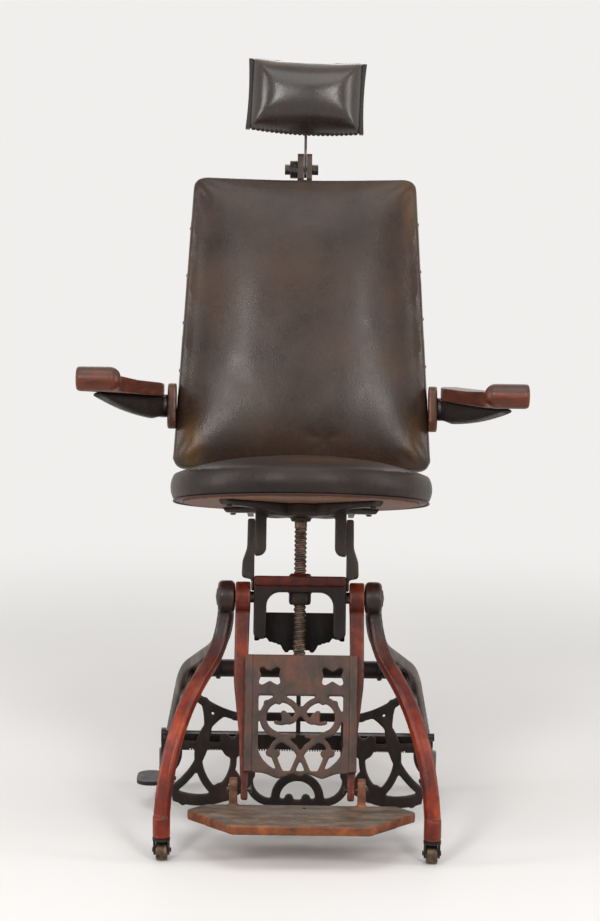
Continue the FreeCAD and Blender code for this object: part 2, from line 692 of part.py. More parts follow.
def guide_bar(word, side):
    # An upright on the end of the crossbar that keeps the seat from turning as it rises.
    inner = size("yoke_half")
    profile = [(inner, 11, 0), (inner + 5, 11, 0), (inner + 5, 31, 0), (inner + 22, 34, 6),
               (inner + 21, 62, 30), (inner + 13, 86, 30), (inner + 12.5, 137, 3), (inner, 137, 1)]
    outline = rounded([(side * x, z, r) for x, z, r in profile])
    return keep("guide_bar_" + word, padded("guide_bar_" + word, "XZ_Plane", [outline], "26", tilt_frame))


def rim_point(angle, reach):
    # A point of the tilt quadrant, its angle counted from straight down towards the back.
    turn = math.radians(angle)
    return reach * math.sin(turn), -reach * math.cos(turn)


def tilt_quadrant():
    # A notched sector behind the valance, held by the locking lever.
    radius = size("quadrant_radius")
    floor = radius - size("notch_depth")
    step = size("notch_step")
    middle = size("lock_angle") + size("seat_tilt")
    rim = [(*rim_point(middle + 2 * step, radius), 2)]
    for notch in (1, 0, -1, -2, -3):
        for offset, reach in ((1.4, radius), (0.9, floor), (-0.9, floor), (-1.4, radius)):
            rim.append((*rim_point(middle + notch * step + offset, reach), 0))
    rim.append((*rim_point(middle - 4 * step, radius), 2))
    root = size("yoke_depth") / 2 + 8
    web = [(root, -66, 0), (root, -28, 0), (root + 35, 6, 20)]
    return keep("tilt_quadrant", padded("tilt_quadrant", "YZ_Plane", [rounded(web + rim)],
                                        "Sizes.quadrant_thickness", tilt_frame * at(size("lock_x"), 0, 0)))


def pedal():
    # A cross shaft with the foot pedal behind it on its left end.
    name = "lock_pedal"
    frame = base_frame * at(0, size("pedal_y"), size("pedal_z"))
    left_end = side_at(size("pedal_z") - 50) + 14
    shaft = cylinder(name + "_shaft", "Sizes.pedal_shaft_radius", f"{2 * left_end}", frame,
                     (-left_end, 0, 0), along_x)
    arm_outline = rounded([(-10, 10, 9), (-10, -10, 9), (24, -94, 6), (52, -98, 3), (50, -90, 6),
                           (12, 10, 9)])
    arm = padded(name + "_arm", "YZ_Plane", [arm_outline], "8", frame * at(-left_end + 3, 0, 0))
    plate_outline = rounded([(-26, -34, 24), (22, -34, 20), (22, 42, 20), (-26, 42, 24)])
    plate = padded(name + "_plate", "XY_Plane", [plate_outline], "7", frame * at(-left_end - 22, 46, -97))
    return keep(name, fuse(name, [shaft, arm, plate]))


def lock_lever():
    # The lever on the pedal shaft, its tooth just clear of the quadrant's middle notch.
    frame = base_frame * at(size("lock_x"), size("pedal_y"), size("pedal_z"))
    clearance = 0.8
    lock_y, lock_z = rim_point(size("lock_angle"), size("quadrant_radius") + clearance)
    tip = Vector(lock_y - size("pedal_y"), lock_z + size("hub_height") - size("pedal_z"), 0)
    out_y, out_z = rim_point(size("lock_angle"), 1)

    def tooth(along, deep):
        return tip.x - out_z * along + out_y * deep, tip.y + out_y * along + out_z * deep

    outline = rounded([(-12, 0, 6), (-8, -12, 9), (8, -12, 9), (13, 0, 6), (*tooth(-30, 26), 30),
                       (*tooth(11, 20), 6), (*tooth(8, 8), 3), (*tooth(2, 7), 0), (*tooth(1.1, 0), 0),
                       (*tooth(-1.1, 0), 0), (*tooth(-2, 7), 0), (*tooth(-26, 12), 20)])
    return keep("lock_lever", padded("lock_lever", "YZ_Plane", [outline, circle(0, 0, 7)], "8", frame))


def seat_spider():
    # Four arms under the seat board, a socket for the screw and two guide lugs.
    top = size("seat_rise")
    arms = []
    for index, (x, y) in enumerate(((135, 125), (-135, 125), (-135, -125), (135, -125))):
        reach = math.hypot(x, y)
        profile = rounded([(0, top, 0), (0, top - 22, 0), (70, top - 22, 20), (110, top - 11, 20),
                           (reach - 8, top - 9, 3), (reach, top, 0)])
        heading = math.degrees(math.atan2(y, x))
        arms.append(padded(f"spider_arm_{index}", "XZ_Plane", [profile], "24",
                           tilt_frame * at(0, 0, 0, along_z, heading)))
    hub_outline = rounded([(0, top, 0), (42, top, 0), (42, top - 20, 4), (18, top - 24, 2),
                           (17.5, top - 30, 1), (0, top - 30, 0)])
    centre = turned("spider_centre", hub_outline, tilt_frame)
    beam = box("spider_beam", "2 * (Sizes.yoke_half - 0.4)", "26", "22", tilt_frame,
               (-size("yoke_half") + 0.4, -13, top - 22))
    outer = size("yoke_half") - 0.4
    lug_outline = [(outer, top - 16, 0), (outer, 72, 2), (outer - 20, 72, 15), (outer - 20, top - 16, 0)]
    lugs = []
    for word, side in sides:
        mirrored_lug = rounded([(side * x, z, r) for x, z, r in lug_outline])
        lugs.append(padded("spider_lug_" + word, "XZ_Plane", [mirrored_lug], "26", tilt_frame))
    solid = fuse("seat_spider_solid", arms + [centre, beam] + lugs)
    socket = cylinder("spider_socket", "8 + Sizes.fit", "26", tilt_frame, (0, 0, top - 31), along_z)
    return keep("seat_spider", cut("seat_spider", solid, socket))


def spider_screws():
    # One screw near the end of each arm, with its round head under the arm.
    top = size("seat_rise")
    screws = []
    for index, angle in enumerate((43, 137, 223, 317)):
        turn = math.radians(angle)
        frame = tilt_frame * at(168 * math.cos(turn), 168 * math.sin(turn), 0)
        outline = rounded([(0, top - 13, 0), (4, top - 13, 1), (6, top - 10, 0), (0, top - 10, 0)])
        screws.append(turned(f"spider_screw_{index}", outline, frame))
    group = doc.addObject("Part::Compound", "spider_screws")
    group.Links = screws
    return keep("spider_screws", group)


def lift_screw():
    # The elevating screw, with a journal in the spider and a squared end for a key.
    radius = size("screw_radius")
    top = size("seat_rise") - 6
    shoulder = size("seat_rise") - 30.2
    bottom = -size("screw_below")
    outline = rounded([(0, bottom + 20, 0), (radius, bottom + 20, 2), (radius, shoulder, 0),
                       (8, shoulder, 0), (8, top, 1), (0, top, 0)])
    shank = turned("lift_screw_shank", outline, tilt_frame)
    square = box("lift_screw_square", "14", "14", "24", tilt_frame, (-7, -7, bottom))
    return keep("lift_screw", fuse("lift_screw", [shank, square]))


def seat_board():
    low = size("seat_rise")
    high = low + size("board_thickness")
    radius = size("board_radius")
    outline = rounded([(0, low, 0), (radius, low, 2), (radius, high, 1), (0, high, 0)])
    return keep("seat_board", turned("seat_board", outline, tilt_frame))


def seat_cushion():
    # A round pad over the board, with drawn-in sides and a low crown.
    low = size("seat_rise") + 1
    hollow = size("seat_rise") + size("board_thickness") + 0.3
    inner = size("board_radius") + 0.3
    radius = size("seat_radius")
    crown = size("seat_rise") + size("seat_crown")
    outline = rounded([(0, hollow, 0), (inner, hollow, 0), (inner, low, 0), (radius - 7, low, 6),
                       (radius + 1.5, low + 24, 26), (radius - 5, low + 53, 20),
                       (radius - 80, crown - 9, 220), (70, crown, 160), (0, crown, 0)])
    return keep("seat_cushion", turned("seat_cushion", outline, tilt_frame))


def back_bracket(word, side):
    # A bent iron from under the seat board to the recline rod behind it.
    y = size("hinge_y")
    z = size("hinge_z")
    top = size("seat_rise")
    outline = rounded([(112, top, 0), (112, top - 8, 3), (236, top - 9, 14), (y + 13, top - 4, 16),
                       (y + 13, z + 13, 12.9), (y - 13, z + 13, 12.9), (y - 13, top, 5)])
    frame = tilt_frame * at(side * 93, 0, 0)
    return keep("back_bracket_" + word, padded("back_bracket_" + word, "YZ_Plane",
                                               [outline, circle(y, z, size("hinge_radius"))], "10", frame))


def hinge_in_back():
    offset = back_frame.inverse() * (tilt_frame * Vector(0, size("hinge_y"), size("hinge_z")))
    return offset.y, offset.z


def back_strap(word, side):
    # A flat iron up the back board, ending in an eye on the recline rod.
    eye_y, eye_z = hinge_in_back()
    face = size("back_depth") + size("back_board_depth")
    outline = rounded([(eye_y - 13, eye_z - 13, 12.9), (eye_y + 13, eye_z - 13, 12.9),
                       (eye_y + 13, eye_z + 20, 12), (face + 8, 14, 12), (face + 8, 330, 3),
                       (face, 330, 0), (face, 4, 3), (eye_y - 13, eye_z + 12, 8)])
    hole = circle(eye_y, eye_z, size("hinge_radius") + size("fit"))
    frame = back_frame * at(side * 111.3, 0, 0)
    return keep("back_strap_" + word, padded("back_strap_" + word, "YZ_Plane", [outline, hole], "26", frame))


def recline_rod():
    half = 130
    radius = size("hinge_radius")
    outline = rounded([(0, -half, 0), (9, -half, 2), (9, 5 - half, 0), (radius, 5 - half, 0),
                       (radius, half - 5, 0), (9, half - 5, 0), (9, half, 2), (0, half, 0)])
    frame = axis_frame(tilt_frame, (0, size("hinge_y"), size("hinge_z")), along_x)
    return keep("recline_rod", turned("recline_rod", outline, frame))


def back_outline(inset):
    low = size("back_width_low") / 2 - inset
    high = size("back_width_high") / 2 - inset
    length = size("back_length")
    corner = max(21 - inset / 3, 8)
    return rounded([(-low, inset, corner), (low, inset, corner), (high, length - inset, corner),
                    (0, length - inset - 6, 3000), (-high, length - inset, corner)])


def loft_through(sections):
    # Outlines set one behind the other, from the back of a cushion to its crown.
    wires = []
    for edges, depth in sections:
        wire = wire_of(edges)
        wire.Placement = at(0, depth, 0) * front_drawing
        wires.append(wire)
    return Part.makeLoft(wires, True, True)


def crown_levels(rear, waist, front, drawn_in, crown):
    # Pairs of inset and depth: drawn in at the rear, full at the waist, then a quarter of an ellipse.
    levels = [(drawn_in, rear), (0, waist)]
    for step in range(1, 7):
        turn = math.radians(15 * step)
        levels.append((crown * (1 - math.cos(turn)), waist + (front - waist) * math.sin(turn)))
    return levels


def back_cushion():
    depth = size("back_depth") - 0.3
    levels = crown_levels(depth, depth - 28, 4, 3, 32) + [(60, -1), (95, -4)]
    sections = [(back_outline(inset), level) for inset, level in levels]
    return keep("back_cushion", shape_piece("back_cushion", loft_through(sections), back_frame))


def back_board():
    frame = back_frame * at(0, size("back_depth") + size("back_board_depth") / 2, 0)
    board = padded("back_board", "XZ_Plane", [back_outline(12)], "Sizes.back_board_depth", frame)
    return keep("back_board", board)


def head_socket():
    # A block on the back board with an upright slot for the head post.
    face = size("back_depth") + size("back_board_depth")
    block_outline = rounded([(-30, 455, 6), (30, 455, 6), (30, 530, 6), (-30, 530, 6)])
    block = padded("head_socket_block", "XZ_Plane", [block_outline], "30", back_frame * at(0, face + 15, 0))
    y = size("head_setback")
    slot = box("head_socket_slot", "24.2", "14.2", "80", back_frame, (-12.1, y - 7.1, 452))
    thread = cylinder("head_socket_thread", "5.05", "30", back_frame, (0, y, 492), along_y)
    return keep("head_socket", cut("head_socket", block, fuse("head_socket_tools", [slot, thread])))


def post_thumbscrew():
    # The screw that pinches the head post, with a winged head.
    start = size("head_setback") + 7.4
    shank = cylinder("thumbscrew_shank", "5", "18", back_frame, (0, start, 492), along_y)
    wing_outline = rounded([(-16, -7, 6.9), (16, -7, 6.9), (16, 7, 6.9), (-16, 7, 6.9)])
    wing = padded("thumbscrew_wing", "XZ_Plane", [wing_outline], "7", back_frame * at(0, start + 18, 492))
    return keep("post_thumbscrew", fuse("post_thumbscrew", [shank, wing]))


def head_post():
    # A flat bar that slides in the socket and ends in a two-cheeked clamp.
    y = size("head_setback")
    pivot = size("head_pivot")
    outline = rounded([(-12, 300, 3), (12, 300, 3), (12, pivot - 26, 0), (13, pivot - 22, 0),
                       (13, pivot + 30, 5), (-15, pivot + 30, 5), (-15, pivot - 22, 0),
                       (-12, pivot - 26, 0)])
    bar = padded("head_post_bar", "XZ_Plane", [outline], "14", back_frame * at(0, y, 0))
    cheek_outline = rounded([(-12, -26, 8), (12, -26, 8), (14, 0, 10), (11, 31, 9), (-11, 31, 9),
                             (-14, 0, 10)])
    cheeks = [padded(f"head_post_cheek_{number}", "YZ_Plane", [cheek_outline], thickness,
                     back_frame * at(x, y, pivot))
              for number, (x, thickness) in enumerate(((-9, "12"), (8, "10")))]
    solid = fuse("head_post_solid", [bar] + cheeks)
    slot = box("head_post_slot", "5.6", "60", "80", back_frame, (-2.8, y - 30, pivot - 22))
    hole = cylinder("head_post_hole", "5", "60", back_frame, (-30, y, pivot), along_x)
    return keep("head_post", cut("head_post", solid, fuse("head_post_tools", [slot, hole])))


def clamp_bolt():
    # The cross bolt of the head clamp, with a thick washer and a nut at each end.
    frame = back_frame * at(0, size("head_setback"), size("head_pivot"))
    shank = cylinder("clamp_bolt_shank", "5", "62", frame, (-38, 0, 0), along_x)
    washer = turned("clamp_bolt_washer", ring_outline(0, 17, -29.5, -15, 2),
                    axis_frame(frame, (0, 0, 0), along_x))
    nuts = [padded(f"clamp_bolt_nut_{number}", "XY_Plane", [hexagon(18)], thickness,
                   axis_frame(frame, (x, 0, 0), along_x))
            for number, (x, thickness) in enumerate(((-34.5, "10"), (19, "12")))]
    return keep("clamp_bolt", fuse("clamp_bolt", [shank, washer] + nuts))


def head_blade():
    # The thin upright between the clamp's cheeks, with the plate that holds the headrest.
    outline = rounded([(-9, -16, 8.9), (9, -16, 8.9), (9, 20, 4), (8, 60, 4), (8, 165, 6), (-8, 165, 6),
                       (-8, 60, 4), (-9, 20, 4)])
    hole = circle(0, 0, 5 + size("fit"))
    blade = padded("head_blade_bar", "YZ_Plane", [outline, hole], "5", head_frame)
    plate_outline = rounded([(-35, 100, 8), (35, 100, 8), (35, 172, 8), (-35, 172, 8)])
    plate = padded("head_blade_plate", "XZ_Plane", [plate_outline], "4", head_frame * at(0, -8, 0))
    return keep("head_blade", fuse("head_blade", [blade, plate]))


def headrest_outline(inset):
    half = size("headrest_width") / 2 - inset
    low = size("headrest_rise") + inset
    high = size("headrest_rise") + size("headrest_height") - inset
    middle = (low + high) / 2
    breadth = half / (size("headrest_width") / 2)
    rise = (high - low) / size("headrest_height")
    waist = half - 3 * rise
    corner = max(7 - inset / 8, 3)
    return rounded([(-half, low, corner), (0, low + 2 * breadth, 2000 * breadth), (half, low, corner),
                    (waist, middle, 700 * rise), (half, high, corner),
                    (0, high - 7 * breadth, 850 * breadth), (-half, high, corner),
                    (-waist, middle, 700 * rise)])


def headrest_frame():
    middle = size("headrest_rise") + size("headrest_height") / 2
    return head_frame * at(0, 0, middle, along_y, size("headrest_roll")) * at(0, 0, -middle)


def headrest_cushion():
    face = -18.3
    depth = size("headrest_depth")
    levels = crown_levels(face, face - 8, face - depth, 1, 52)
    sections = [(headrest_outline(inset), level) for inset, level in levels]
    cushion = shape_piece("headrest_cushion", loft_through(sections), headrest_frame())
    return keep("headrest_cushion", cushion)


def headrest_board():
    frame = headrest_frame() * at(0, -14, 0)
    return keep("headrest_board", padded("headrest_board", "XZ_Plane", [headrest_outline(10)], "8", frame))


def arm_frame(word, side):
    droop = size("arm_droop_" + word)
    return tilt_frame * at(side * size("arm_plate_outer"), size("arm_pivot_y"), size("arm_pivot_z"), along_x,
                           droop)


def arm_plate(word, side):
    # The oval plate on the back's side that carries the arm's pivot.
    inner = size("back_width_low") / 2 - 2
    pivot = back_frame.inverse() * (tilt_frame * Vector(0, size("arm_pivot_y"), size("arm_pivot_z")))
    thickness = size("arm_plate_outer") - inner - 0.3
    outline = rounded([(-22, -43, 21.9), (22, -43, 21.9), (22, 43, 21.9), (-22, 43, 21.9)])
    frame = back_frame * at(side * (inner + thickness / 2), pivot.y, pivot.z)
    plate = padded(f"arm_plate_{word}_oval", "YZ_Plane", [outline], f"{thickness}", frame)
    pin_start = (side * (size("arm_plate_outer") - 2), size("arm_pivot_y"), size("arm_pivot_z"))
    pin = cylinder(f"arm_plate_{word}_pin", "7", "16.3", tilt_frame, pin_start, along_x * side)
    return keep("arm_plate_" + word, fuse("arm_plate_" + word, [plate, pin]))


def arm_bracket(word, side):
    # The horn-shaped iron under the arm board, thick at its pivot and thin at its tip.
    spread = math.degrees(math.atan2(size("arm_spread"), size("arm_reach")))
    run = math.hypot(size("arm_spread"), size("arm_reach"))
    frame = arm_frame(word, side)
    tip = 22 - run
    horn = rounded([(8, 17, 3), (8, -20, 12), (-60, -22, 60), (-run * 0.6, -14, 200), (tip, -7, 3),
                    (tip, 1, 2), (-run * 0.5, 11, 0)])
    bar = padded(f"arm_bracket_{word}_horn", "YZ_Plane", [horn], "16",
                 frame * at(side * 9, 0, 0, along_z, side * spread))
    eye = cylinder(f"arm_bracket_{word}_eye", "21", "14", frame, (0, 0, 0), along_x * side)
    solid = fuse(f"arm_bracket_{word}_solid", [bar, eye])
    hole = cylinder(f"arm_bracket_{word}_hole", "7 + Sizes.fit", "60", frame, (side * -20, 0, 0),
                    along_x * side)
    inside = box(f"arm_bracket_{word}_inside", "60", "120", "120", frame,
                 (-60 if side > 0 else 0, -60, -60))
    return keep("arm_bracket_" + word, cut("arm_bracket_" + word, solid,
                                           fuse(f"arm_bracket_{word}_tools", [hole, inside])))


def arm_board(word, side, bracket):
    # The wooden arm, widening to a rolled end in front.
    reach = size("arm_reach")
    spread = size("arm_spread")
    roll_half = size("arm_roll_length") / 2
    slope = math.degrees(math.atan2(17 - 1, reach))
    frame = arm_frame(word, side) * at(0, 0, 17, along_x, slope)
    outside = spread + roll_half
    inside = spread - roll_half
    plan = [(6, 4, 6), (38, 10, 10), (outside - 14, 20 - reach, 20), (outside - 6, -reach, 0),
            (inside, -reach, 0), (inside, 30 - reach, 30), (6, -60, 60)]
    outline = rounded([(side * x, y, r) for x, y, r in plan])
    block = padded(f"arm_board_{word}_plan", "XY_Plane", [outline], "2 * Sizes.arm_thickness",
                   frame * at(0, 0, size("arm_thickness")))
    top = size("arm_thickness")
    cove = top + 11
    rise = rounded([(14, -1, 0), (14, top, 5), (120 - reach, top, 600), (16 - reach, cove, 10),
                    (-1 - reach, cove, 0), (-1 - reach, -1, 0)])
    plank = doc.addObject("Part::Common", f"arm_board_{word}_plank")
    plank.Base = block
    plank.Tool = padded(f"arm_board_{word}_rise", "YZ_Plane", [rise], "400", frame)
    radius = size("arm_roll_radius")
    roll = turned(f"arm_board_{word}_roll", rounded([(0, -roll_half, 0), (radius, -roll_half, 5),
                                                     (radius, roll_half, 5), (0, roll_half, 0)]),
                  axis_frame(frame, (side * spread, -reach, radius), along_x))
    solid = fuse(f"arm_board_{word}_solid", [plank, roll])
    return keep("arm_board_" + word, cut("arm_board_" + word, solid, bracket))


def foot_bar(word, side):
    # A footrest bar with an eye on the trunnion, narrowing to a strap at the footplate.
    inner = size("foot_bar_inner")
    length = size("foot_bar_length")
    profile = [(inner, 0, 0), (inner + 26, 0, 0), (inner + 26.5, -150, 200), (inner + 16, -240, 200),
               (inner + 11, -length, 3), (inner - 1, -length, 3), (inner - 1, -250, 60),
               (inner + 3, -170, 60), (inner + 1, -60, 60)]
    outline = rounded([(side * x, z, r) for x, z, r in profile])
    strap = padded(f"foot_bar_{word}_strap", "XZ_Plane", [outline], "14", foot_frame)
    eye = cylinder(f"foot_bar_{word}_eye", "27", "26", foot_frame, (side * inner, 0, 0), along_x * side)
    solid = fuse(f"foot_bar_{word}_solid", [strap, eye])
    holes = [
        cylinder(f"foot_bar_{word}_hole", "Sizes.trunnion_radius + Sizes.fit", "60", foot_frame,
                 (side * (inner - 10), 0, 0), along_x * side),
        cylinder(f"foot_bar_{word}_pin_hole", "4 + Sizes.fit", "60", foot_frame,
                 (side * (inner - 20), 0, -size("foot_pivot")), along_x * side),
    ]
    return keep("foot_bar_" + word, cut("foot_bar_" + word, solid, fuse(f"foot_bar_{word}_holes", holes)))


def foot_scrolls():
    # The arabesque in the panel's window: x from the panel's middle, y down the bars from the axis.
    band = size("strip_width")
    half = [
        line_band((-38, -183), (-38, -166), band),
        arc_band((-5, -199), (-24, -181.5), (-44, -180), band - 0.5),
        arc_band((-40, -179.5), (-65, -208), (-48, -238), band + 1),
        arc_band((-50, -236), (-30, -247), (-10, -262), band - 0.2),
        line_band((-11, -260), (2, -279), band - 1.2),
        arc_band((-6, -203), (-10, -212), (-20, -218), band - 1.5),
        disc_face(-25, -211, 8.5),
        disc_face(-29.5, -203.5, 5.2),
        arc_band((-20, -217), (-32, -220.5), (-43, -219), band - 4.5),
        disc_face(-59, -186, 5.5),
        line_band((-77, -204), (-62, -204), band - 3),
        line_band((-28, -245), (-11, -242), band - 3.5),
        arc_band((-16, -256), (-36, -250), (-49, -264), band - 2.5),
        disc_face(-52, -271, 7.5),
        disc_face(-41, -272, 6.5),
        arc_band((-47, -273), (-41, -288), (-35, -302), band - 1.6),
        line_band((-1, -275), (-12, -300), band - 2),
    ]
    return mirrored_faces(half) + [disc_face(0, -200, 9)]


def foot_panel():
    # The pierced panel between the bars: a plate with two bow-shaped holes and a scrolled window.
    half = size("foot_panel_half")
    top = -size("foot_panel_top")
    plate = rounded([(-half, top, 2), (half, top, 2), (half, -304, 3), (62, -306, 40), (38, -316, 14),
                     (12, -306, 10), (0, -312, 5), (-12, -306, 10), (-38, -316, 14), (-62, -306, 40),
                     (-half, -304, 3)])
    window = rounded([(-73, -173, 2), (73, -173, 2), (73, -275, 40), (44, -302, 40), (-44, -302, 40),
                      (-73, -275, 40)])
    bow = [(33, -117, 5), (54, -131, 4), (78, -116, 5), (69, -138, 5), (78, -161, 5), (54, -147, 4),
           (33, -160, 5), (39, -138, 5)]
    bows = [rounded([(side * x, z, r) for x, z, r in bow]) for word, side in sides]
    shift = size("foot_panel_shift")
    frame = foot_frame * at(shift, -7 - size("panel_thickness") / 2, 0)
    body = padded("foot_panel_plate", "XZ_Plane", [plate, window] + bows, "Sizes.panel_thickness", frame)
    lattice_shape = lattice(foot_scrolls(), size("panel_thickness"))
    scrolls = shape_piece("foot_panel_scrolls", lattice_shape, frame * front_drawing)
    ribs = [box(f"foot_panel_rib_{word}", "13", "Sizes.panel_thickness + 4", "201", foot_frame,
                (shift + side * (half - 6.5) - 6.5, -11 - size("panel_thickness"), -304))
            for word, side in sides]
    return keep("foot_panel", fuse("foot_panel", [body, scrolls] + ribs))


def footplate_frame():
    return base_frame * at(0, -size("footplate_back"), size("footplate_top"))


def footplate():
    # A long six-sided tread with two upright lugs outside the bars.
    half = size("footplate_width") / 2
    front = size("footplate_front") / 2
    depth = size("footplate_depth")
    outline = rounded([(-half + 34, 0, 10), (half - 34, 0, 10), (half, -34, 9), (front, -depth, 14),
                       (-front, -depth, 14), (-half, -34, 9)])
    frame = footplate_frame()
    tread = padded("footplate_tread", "XY_Plane", [outline], "Sizes.footplate_thickness",
                   frame * at(size("footplate_shift"), 0, -size("footplate_thickness") / 2))
    pivot = frame.inverse() * (foot_frame * Vector(0, 0, -size("foot_pivot")))
    lug_inner = size("foot_bar_inner") + 16.8
    lug = rounded([(pivot.y - 14, -8, 0), (pivot.y - 12, pivot.z + 20, 9), (pivot.y + 12, pivot.z + 20, 9),
                   (pivot.y + 11, -8, 0)])
    lugs = [padded("footplate_lug_" + word, "YZ_Plane", [lug], "14",
                   frame * at(side * (lug_inner + 7), 0, 0)) for word, side in sides]
    solid = fuse("footplate_solid", [tread] + lugs)
    hole = cylinder("footplate_hole", "4", "300", foot_frame, (-150, 0, -size("foot_pivot")), along_x)
    return keep("footplate", cut("footplate", solid, hole))


def footplate_pins():
    pins = []
    for word, side in sides:
        start = size("foot_bar_inner") - 8
        length = 43
        outline = rounded([(0, 0, 0), (6.5, 0, 2), (6.5, 4, 0), (4, 4, 0), (4, length - 4, 0),
                           (6.5, length - 4, 0), (6.5, length, 2), (0, length, 0)])
        frame = axis_frame(foot_frame, (side * start, 0, -size("foot_pivot")), along_x * side)
        pins.append(turned("footplate_pin_" + word, outline, frame))
    group = doc.addObject("Part::Compound", "footplate_pins")
    group.Links = pins
    return keep("footplate_pins", group)


def build_base():
    front_legs = {}
    rear_legs = {}
    for word, side in sides:
        front_legs[word] = front_leg(word, side)
        rear_legs[word] = rear_leg(word, side, front_legs[word])
        caster(word, side, "front")
        caster(word, side, "rear")
    right_panel = side_panel()
    left_panel = opposite_panel(right_panel)
    trunnions()
    cross_panel()
    toothed_stretcher()
    stretcher_bolts()
    cross_tube(list(rear_legs.values()), [left_panel, right_panel])
    pedal()
    lock_lever()


def build_seat_unit():
    yoke()
    yoke_valance()
    tilt_quadrant()
    seat_spider()
    spider_screws()
    lift_screw()
    seat_board()
    seat_cushion()
    recline_rod()
    for word, side in sides:
        guide_bar(word, side)
        back_bracket(word, side)


def build_back():
    back_cushion()
    back_board()
    head_socket()
    post_thumbscrew()
    head_post()
    clamp_bolt()
    head_blade()
    headrest_board()
    headrest_cushion()
    for word, side in sides:
        back_strap(word, side)
        arm_plate(word, side)
        bracket = arm_bracket(word, side)
        arm_board(word, side, bracket)


def build_footrest():
    foot_panel()
    footplate()
    footplate_pins()
    for word, side in sides:
        foot_bar(word, side)


def check_and_write():
    doc.recompute()
    for feature in doc.Objects:
        if "Invalid" in feature.State or "Error" in feature.State:
            raise RuntimeError(f"{feature.Label} failed: {feature.State}")
    unsound = [name for name, feature in pieces.items()
               if feature.Shape.isNull() or not feature.Shape.isValid() or not feature.Shape.Solids]
    if unsound:
        raise RuntimeError(f"no sound solid: {unsound}")
    os.makedirs("parts", exist_ok=True)
    for name, feature in pieces.items():
        feature.Shape.exportStep(f"parts/{name}.step")
    print(len(pieces), "pieces written")


build_base()
build_seat_unit()
build_back()
build_footrest()
check_and_write()
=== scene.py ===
import bpy
import json
import math
import numpy as np
from mathutils import Matrix, Vector, noise


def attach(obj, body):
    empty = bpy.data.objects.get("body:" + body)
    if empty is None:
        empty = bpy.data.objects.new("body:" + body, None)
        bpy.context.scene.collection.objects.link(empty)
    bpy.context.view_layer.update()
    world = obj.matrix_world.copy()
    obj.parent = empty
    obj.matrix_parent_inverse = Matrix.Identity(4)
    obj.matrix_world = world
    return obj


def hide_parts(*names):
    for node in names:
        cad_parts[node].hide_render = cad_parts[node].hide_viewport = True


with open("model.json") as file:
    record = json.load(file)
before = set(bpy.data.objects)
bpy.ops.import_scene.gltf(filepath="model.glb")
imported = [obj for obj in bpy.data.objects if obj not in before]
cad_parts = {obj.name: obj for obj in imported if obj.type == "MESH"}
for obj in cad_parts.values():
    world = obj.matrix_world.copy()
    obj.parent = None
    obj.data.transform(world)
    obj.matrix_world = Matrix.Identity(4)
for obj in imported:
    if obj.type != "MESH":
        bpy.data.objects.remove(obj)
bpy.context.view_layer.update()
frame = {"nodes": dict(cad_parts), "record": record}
nodes = frame["nodes"]
bodyOf = {node: body for body, names in frame["record"]["behaviour"]["bodies"].items() for node in names}
mm = 0.001  # the chair's sizes are in millimetres, its angles in degrees

# the chair's own frames, as the castings carry each other
frameSpec = {"hub": (0, -155.25, 419), "seatLean": 13.2, "back": (0, 196, 243), "backLean": 5,
             "head": (0, 86, 599), "headLean": -9, "padMiddle": (0, 0, 138.5), "padTurn": 2.2}
hub = Vector(frameSpec["hub"]) * mm


def leanBack(degrees):
    return Matrix.Rotation(math.radians(-degrees), 4, "X")


def shift(x, y, z):
    return Matrix.Translation(Vector((x, y, z)) * mm)


seatFrame = Matrix.Translation(hub) @ leanBack(frameSpec["seatLean"])
backFrame = seatFrame @ shift(*frameSpec["back"]) @ leanBack(frameSpec["backLean"])
headFrame = backFrame @ shift(*frameSpec["head"]) @ leanBack(frameSpec["headLean"])
padMiddle = shift(*frameSpec["padMiddle"])
padTurn = Matrix.Rotation(math.radians(frameSpec["padTurn"]), 4, "Y")
headrestFrame = headFrame @ padMiddle @ padTurn @ padMiddle.inverted()
armSpec = {"pivot": (251, 221, 358), "droop": {"left": 2.4, "right": 5.9}, "spread": 16.3, "rise": 17.0,
           "slope": 2.7, "plate": 1.4, "plateVoxel": 1.6, "plateSmoothing": 8}


def armSign(side):
    return -1 if side == "left" else 1


def armFrame(side):
    x, y, z = armSpec["pivot"]
    return seatFrame @ shift(armSign(side) * x, y, z) @ leanBack(-armSpec["droop"][side])


def hornFrame(side):
    return armFrame(side) @ Matrix.Rotation(math.radians(armSign(side) * armSpec["spread"]), 4, "Z")


def boardFrame(side):
    return armFrame(side) @ shift(0, 0, armSpec["rise"]) @ leanBack(-armSpec["slope"])


print("frame loaded")


# small helpers

def hexColor(text):
    channels = [int(text[i:i + 2], 16) / 255 for i in (1, 3, 5)]
    linear = [c / 12.92 if c <= 0.04045 else ((c + 0.055) / 1.055) ** 2.4 for c in channels]
    return (*linear, 1.0)


def addNode(tree, kind, inputs=None, out=0, stops=None, **settings):
    node = tree.nodes.new("ShaderNode" + kind)
    for key, value in settings.items():
        setattr(node, key, value)
    for key, value in (inputs or {}).items():
        if isinstance(value, bpy.types.NodeSocket):
            tree.links.new(value, node.inputs[key])
        else:
            node.inputs[key].default_value = value
    if stops:
        elements = node.color_ramp.elements
        while len(elements) < len(stops):
            elements.new(0.5)
        for element, (position, color) in zip(elements, stops):
            element.position = position
            element.color = hexColor(color) if isinstance(color, str) else (color, color, color, 1)
    return node.outputs[out] if len(node.outputs) else node


def startMaterial(name):
    material = bpy.data.materials.new(name)
    material.use_nodes = True
    tree = material.node_tree
    tree.nodes.clear()
    return material, tree, addNode(tree, "TexCoord", out="Object")


def finishMaterial(tree, settings):
    addNode(tree, "OutputMaterial", {"Surface": addNode(tree, "BsdfPrincipled", settings)})


def clamp(value):
    return min(1.0, max(0.0, value))


